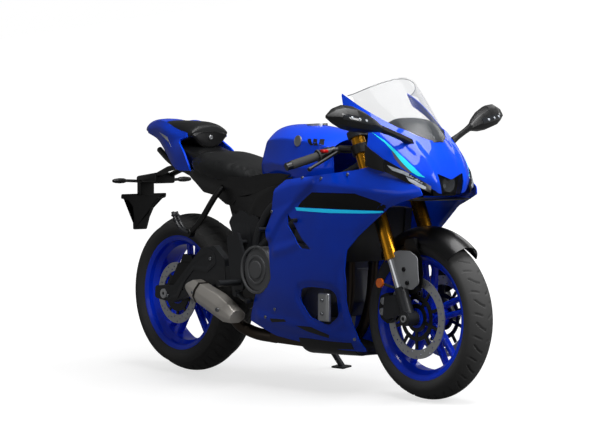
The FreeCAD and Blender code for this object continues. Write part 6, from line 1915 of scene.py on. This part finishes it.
@dataclass
class ArmFaces:
    """The pocketed outer faces of the swingarm."""

    outline: Outline = ((-6, 326), (66, 352), (112, 378), (166, 440), (232, 486), (284, 504), (322, 494),
                        (334, 448), (280, 414), (194, 420), (138, 372), (90, 300), (-6, 290))
    pocket: Outline = ((14, 318), (72, 340), (122, 372), (174, 430), (236, 472), (282, 488), (308, 480),
                       (316, 456), (276, 430), (188, 434), (128, 382), (82, 312), (14, 300))
    face_at: Flat = (150, 400)

    def build(self, bench: Bench, arm: BVHTree) -> None:
        """Lays the faces on the arm.

        Args:
            bench: Where the pieces are handed over.
            arm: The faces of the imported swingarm.
        """
        hit, _ = met(arm, *self.face_at)
        if not hit:
            return
        face = PressedPanel("swingarm_faces", self.outline, abs(hit.y) + 2.6, thickness=3.4,
                            creases=(Step(self.pocket, -2.0, 5.0),), grid=5.0, corner=8.0)
        bench.hand_over(mirrored(face.shape()), GREY_PAINT)
        spots = [((x, side * (abs(hit.y) + 1.8), z), (0, side, 0), 7.0)
                 for x, z in ((24, 308), (300, 468)) for side in (-1, 1)]
        bench.bolts("swingarm_bolts", spots, ZINC)


@dataclass
class PegBrackets:
    """The bent black brackets that hang from the tail, with the folded pillion rests."""

    hanger: tuple[Spot, ...] = ((342, 128, 748), (334, 148, 722), (312, 162, 682), (276, 170, 630),
                                (240, 174, 592), (200, 176, 566))
    rest: tuple[Spot, ...] = ((206, 178, 566), (170, 184, 572), (140, 190, 604), (124, 194, 646))

    def build(self, bench: Bench) -> None:
        """Builds both brackets and rests.

        Args:
            bench: Where the pieces are handed over.
        """
        hanger = tube([(x, -y, z) for x, y, z in self.hanger], 12.0, "peg_hangers")
        knuckle = turned(((0, -14), (16, -14), (18, -11), (18, 11), (16, 14), (0, 14)), (200, -176, 566),
                         (0, -1, 0), "peg_knuckles", 28)
        bars = join([hanger, knuckle])
        bars.name = "pillion_rest_brackets"
        bench.hand_over(mirrored(bars), BLACK_ABS, ("pillion_pegs",))
        prongs = [tube([(x, -y - off, z) for x, y, z in self.rest], 7.0, "peg_prongs") for off in (-9, 9)]
        for spot in ((150, 188, 592), (138, 191, 612), (129, 193, 632)):
            pad = box("peg_pad", (spot[0], -spot[1], spot[2]), (16, 34, 9))
            round_edges(pad, 3.0, 2)
            prongs.append(pad)
        pegs = join(prongs)
        pegs.name = "folded_pillion_rests"
        bench.hand_over(mirrored(pegs), GREY_PAINT)


@dataclass
class FrontEndDetails:
    """Fork guards, caliper caps, the stop switch, the dash shroud and the screen's edge."""

    dash: Table = (
        rib(1236, (0, 998), (40, 996), (72, 990), (100, 976)),
        rib(1254, (0, 1019), (40, 1017), (72, 1006), (98, 988)),
        rib(1310, (0, 1019), (38, 1017), (68, 1004), (92, 986)),
        rib(1366, (0, 1008), (30, 1005), (54, 994), (76, 974)),
        rib(1412, (0, 968), (20, 966), (38, 960), (54, 952)),
        ((1440, 0, 937), (1440, 12, 936), (1438, 22, 935), (1434, 32, 934)))
    caps: Outline = ((1241, 354), (1235, 315))
    switch_y: float = -212
    switch_x: tuple[float, ...] = (1062, 1050, 1075)
    screen_edge: tuple[Spot, ...] = ((1116, 155, 1106), (1138, 148, 1112), (1162, 135, 1123),
                                     (1186, 117, 1135), (1208, 94, 1147), (1226, 66, 1158), (1237, 34, 1166),
                                     (1241, 0, 1169))
    guard: PressedPanel = PressedPanel(
        "fork_guards",
        ((1306, 534), (1350, 545), (1408, 545), (1448, 524), (1456, 430), (1420, 405), (1364, 414),
         (1330, 482)),
        117.0, bulge=4.0, corner=9.0)

    def build(self, bench: Bench, calipers: BVHTree, controls: BVHTree) -> None:
        """Builds the small things round the fork.

        Args:
            bench: Where the pieces are handed over.
            calipers: The faces of the front calipers.
            controls: The faces of the switch blocks and levers.
        """
        bench.hand_over(mirrored(self.guard.shape()), GUARD_GREY, body="front_end")
        spots = [((x, side * 116.5, z), (0, side, 0), 8.5)
                 for x, z in ((1382, 478), (1400, 430)) for side in (-1, 1)]
        bench.bolts("fork_guard_bolts", spots, BLACK_GLOSS, body="front_end")
        caps = []
        for x, z in self.caps:
            hit, _ = met(calipers, x, z)
            if hit:
                caps += [turned(((0, 0), (14, 0), (14, 4), (12, 6), (8, 6), (8, 4), (0, 4)),
                                (hit.x, side * abs(hit.y), hit.z), (0, side, 0), "caliper_cap", 32)
                         for side in (-1, 1)]
        if caps:
            cap = join(caps)
            cap.name = "caliper_caps"
            bench.hand_over(cap, SILVER_ALLOY, body="front_end")
        for x in self.switch_x:
            hit = controls.ray_cast(Vector((x, self.switch_y, 1100)), Vector((0, 0, -1)))[0]
            if hit:
                switch = box("red_stop_switch", (hit.x, hit.y, hit.z + 3), (22, 26, 12))
                round_edges(switch, 3.5)
                bench.hand_over(switch, RED_SWITCH, body="front_end")
                break
        dash = sheet_from(refine(self.dash, 4, 4), "dash_shroud")
        apply_modifier(dash, "SOLIDIFY", thickness=3.0, offset=-1.0)
        turn_out(dash)
        bench.hand_over(mirrored(dash), BLACK_ABS)
        path = [(x - 1.0, -y, z - 2.5) for x, y, z in self.screen_edge]
        path += [(x, -y, z) for x, y, z in reversed(path[:-1])]
        rim = tube(path, 1.3, "screen_edge")
        bench.hand_over(rim, SMOKED_LENS)


@dataclass
class Studio:
    """Pale floor, soft boxes and the camera of the picture."""

    camera_mm: Spot = (8893.43, -6928.95, 1134.70)
    back_way: Spot = (0.76429, -0.64319, 0.04642)
    lens_mm: float = 168.70
    floor_size: float = 40.0
    fill: float = 0.1
    mirrored_level: float = 0.15
    boxes: tuple[tuple[str, Spot, Spot, Flat, float], ...] = (
        ("top_box", (1.2, 0.1, 3.2), (0.2, 0.0, 0.5), (2.6, 1.8), 118.0),
        ("front_box", (3.6, 0.6, 1.9), (0.3, 0.0, 0.7), (1.6, 1.6), 58.0),
        ("right_box", (0.4, -4.2, 1.8), (0.0, 0.0, 0.5), (3.2, 1.2), 7.0),
        ("left_box", (-0.6, 4.0, 2.2), (0.0, 0.0, 0.5), (2.6, 1.4), 24.0))

    def build_camera(self, parked: Matrix) -> None:
        """Places the camera as the picture was taken, rolled with the leaning bike.

        Args:
            parked: The matrix from upright millimetres to the parked frame.
        """
        back = Vector(self.back_way).normalized()
        right = Vector((0, 0, 1)).cross(back).normalized()
        up = back.cross(right)
        basis = Matrix((right, up, back)).transposed().to_4x4()
        turn = parked.to_3x3().normalized().to_4x4()
        bpy.ops.object.camera_add(location=(0, 0, 0))
        camera = bpy.context.object
        camera.name = "picture_camera"
        camera.data.lens = self.lens_mm
        camera.data.sensor_width = 36.0
        camera.data.clip_end = 100.0
        camera.matrix_world = Matrix.Translation(parked @ Vector(self.camera_mm)) @ turn @ basis
        bpy.context.scene.camera = camera

    def seen_level(self, tree: bpy.types.NodeTree, rays: bpy.types.Node, fill: float) -> bpy.types.Node:
        """Gives how bright a backdrop is for each kind of ray.

        Args:
            tree: The backdrop's nodes.
            rays: Its Light Path node.
            fill: What it gives to every other ray, as light on the object.

        Returns:
            The node whose output is the strength.
        """
        glossy = add_node(tree, "ShaderNodeMath", {"operation": "MULTIPLY_ADD"},
                          {0: rays.outputs["Is Glossy Ray"], 1: self.mirrored_level - fill, 2: fill})
        clear = add_node(tree, "ShaderNodeMath", {"operation": "MAXIMUM"},
                         {0: rays.outputs["Is Camera Ray"], 1: rays.outputs["Is Transmission Ray"]})
        return add_node(tree, "ShaderNodeMath", {"operation": "MAXIMUM"},
                        {0: glossy.outputs[0], 1: clear.outputs[0]})

    def build_floor(self) -> None:
        """Lays the pale floor."""
        bpy.ops.mesh.primitive_plane_add(size=self.floor_size, location=(0, 0, 0))
        floor = bpy.context.object
        floor.name = "studio_floor"
        material = bpy.data.materials.new("white_studio_floor")
        material.use_nodes = True
        tree = material.node_tree
        shader = tree.nodes["Principled BSDF"]
        shader.inputs["Roughness"].default_value = 0.9
        shader.inputs["Specular IOR Level"].default_value = 0.1
        place = add_node(tree, "ShaderNodeTexCoord").outputs["Object"]
        away = add_node(tree, "ShaderNodeVectorMath", {"operation": "LENGTH"}, {0: place})
        spread = add_node(tree, "ShaderNodeMapRange", {},
                          {"Value": away.outputs["Value"], "From Min": 0.7, "From Max": 2.6,
                           "To Min": 0.7, "To Max": 1.0})
        rays = add_node(tree, "ShaderNodeLightPath")
        seen = self.seen_level(tree, rays, 0.0)
        ground = add_node(tree, "ShaderNodeMix", {"data_type": "RGBA"},
                          {0: rays.outputs["Is Camera Ray"], 6: tint("#4c4c4c"), 7: tint("#a8a8a8")})
        tree.links.new(ground.outputs[2], shader.inputs["Base Color"])
        level = add_node(tree, "ShaderNodeMath", {"operation": "MULTIPLY"},
                         {0: seen.outputs[0], 1: spread.outputs["Result"]})
        shader.inputs["Emission Color"].default_value = tint("#ffffff")
        tree.links.new(level.outputs[0], shader.inputs["Emission Strength"])
        floor.data.materials.append(material)
        floor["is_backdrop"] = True

    def build_lights(self) -> None:
        """Hangs the soft boxes and sets the white world."""
        world = bpy.data.worlds.new("white_studio")
        bpy.context.scene.world = world
        world.use_nodes = True
        tree = world.node_tree
        background = tree.nodes["Background"]
        rays = add_node(tree, "ShaderNodeLightPath")
        seen = self.seen_level(tree, rays, self.fill)
        background.inputs["Color"].default_value = tint("#ffffff")
        tree.links.new(seen.outputs[0], background.inputs["Strength"])
        for name, place, target, size, power in self.boxes:
            bpy.ops.object.light_add(type="AREA", location=place)
            lamp = bpy.context.object
            lamp.name = name
            lamp.data.shape = "RECTANGLE"
            lamp.data.size, lamp.data.size_y = size
            lamp.data.energy = power
            way = Vector(target) - Vector(place)
            lamp.rotation_euler = way.to_track_quat("-Z", "Y").to_euler()

    def build(self, parked: Matrix) -> None:
        """Builds the whole stage.

        Args:
            parked: The matrix from upright millimetres to the parked frame.
        """
        self.build_camera(parked)
        self.build_floor()
        self.build_lights()
        bpy.context.scene.view_settings.view_transform = "Standard"
        LOG.info("stage, lights and camera in place")


def write_sizes(after: object) -> None:
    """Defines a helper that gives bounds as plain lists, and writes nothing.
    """
    def plain(bounds: object) -> list:
        """Gives bounds as plain nested lists."""
        return [[float(v) for v in corner] for corner in bounds]


def main() -> None:
    """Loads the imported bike, dresses it and sets the stage."""
    logging.basicConfig(level=logging.INFO, format="%(message)s")
    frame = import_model()
    parked = ParkedFrame().matrix()
    dress_nodes(frame)
    bench = Bench(parked)
    nodes = frame["nodes"]
    SideFairings().build(bench)
    NoseCowl().build(bench)
    StripLamps().build(bench, nodes["position_lamps"])
    TankCover().build(bench)
    TailWings().build(bench)
    SeatTrim().build(bench)
    TailCentre().build(bench)
    EngineDetails().build(bench, bench.surface([nodes["engine"], nodes["engine_covers"]]))
    Silencer().build(bench)
    Mirrors().build(bench)
    PlateHolder().build(bench)
    FrontEndDetails().build(bench, bench.surface([nodes["front_calipers"]]),
                            bench.surface([nodes["hand_controls"]]))
    PegBrackets().build(bench)
    ArmFaces().build(bench, bench.surface([nodes["swingarm"]]))
    SeatPads().build(bench)
    RoadTyre("front_tyre", "front_wheel", FRONT_AXLE, radius=300.0, width=120.0, crown=62.0, crown_deg=46.0,
             rim_width=100.0).build(bench)
    RoadTyre("rear_tyre", "rear_wheel", (0.0, 0.0, 315.3145), radius=315.0, width=180.0, crown=94.0,
             crown_deg=38.0, rim_width=152.0, pitches=23).build(bench)
    Studio().build(parked)
    write_sizes(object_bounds())


if __name__ == "__main__":
    main()
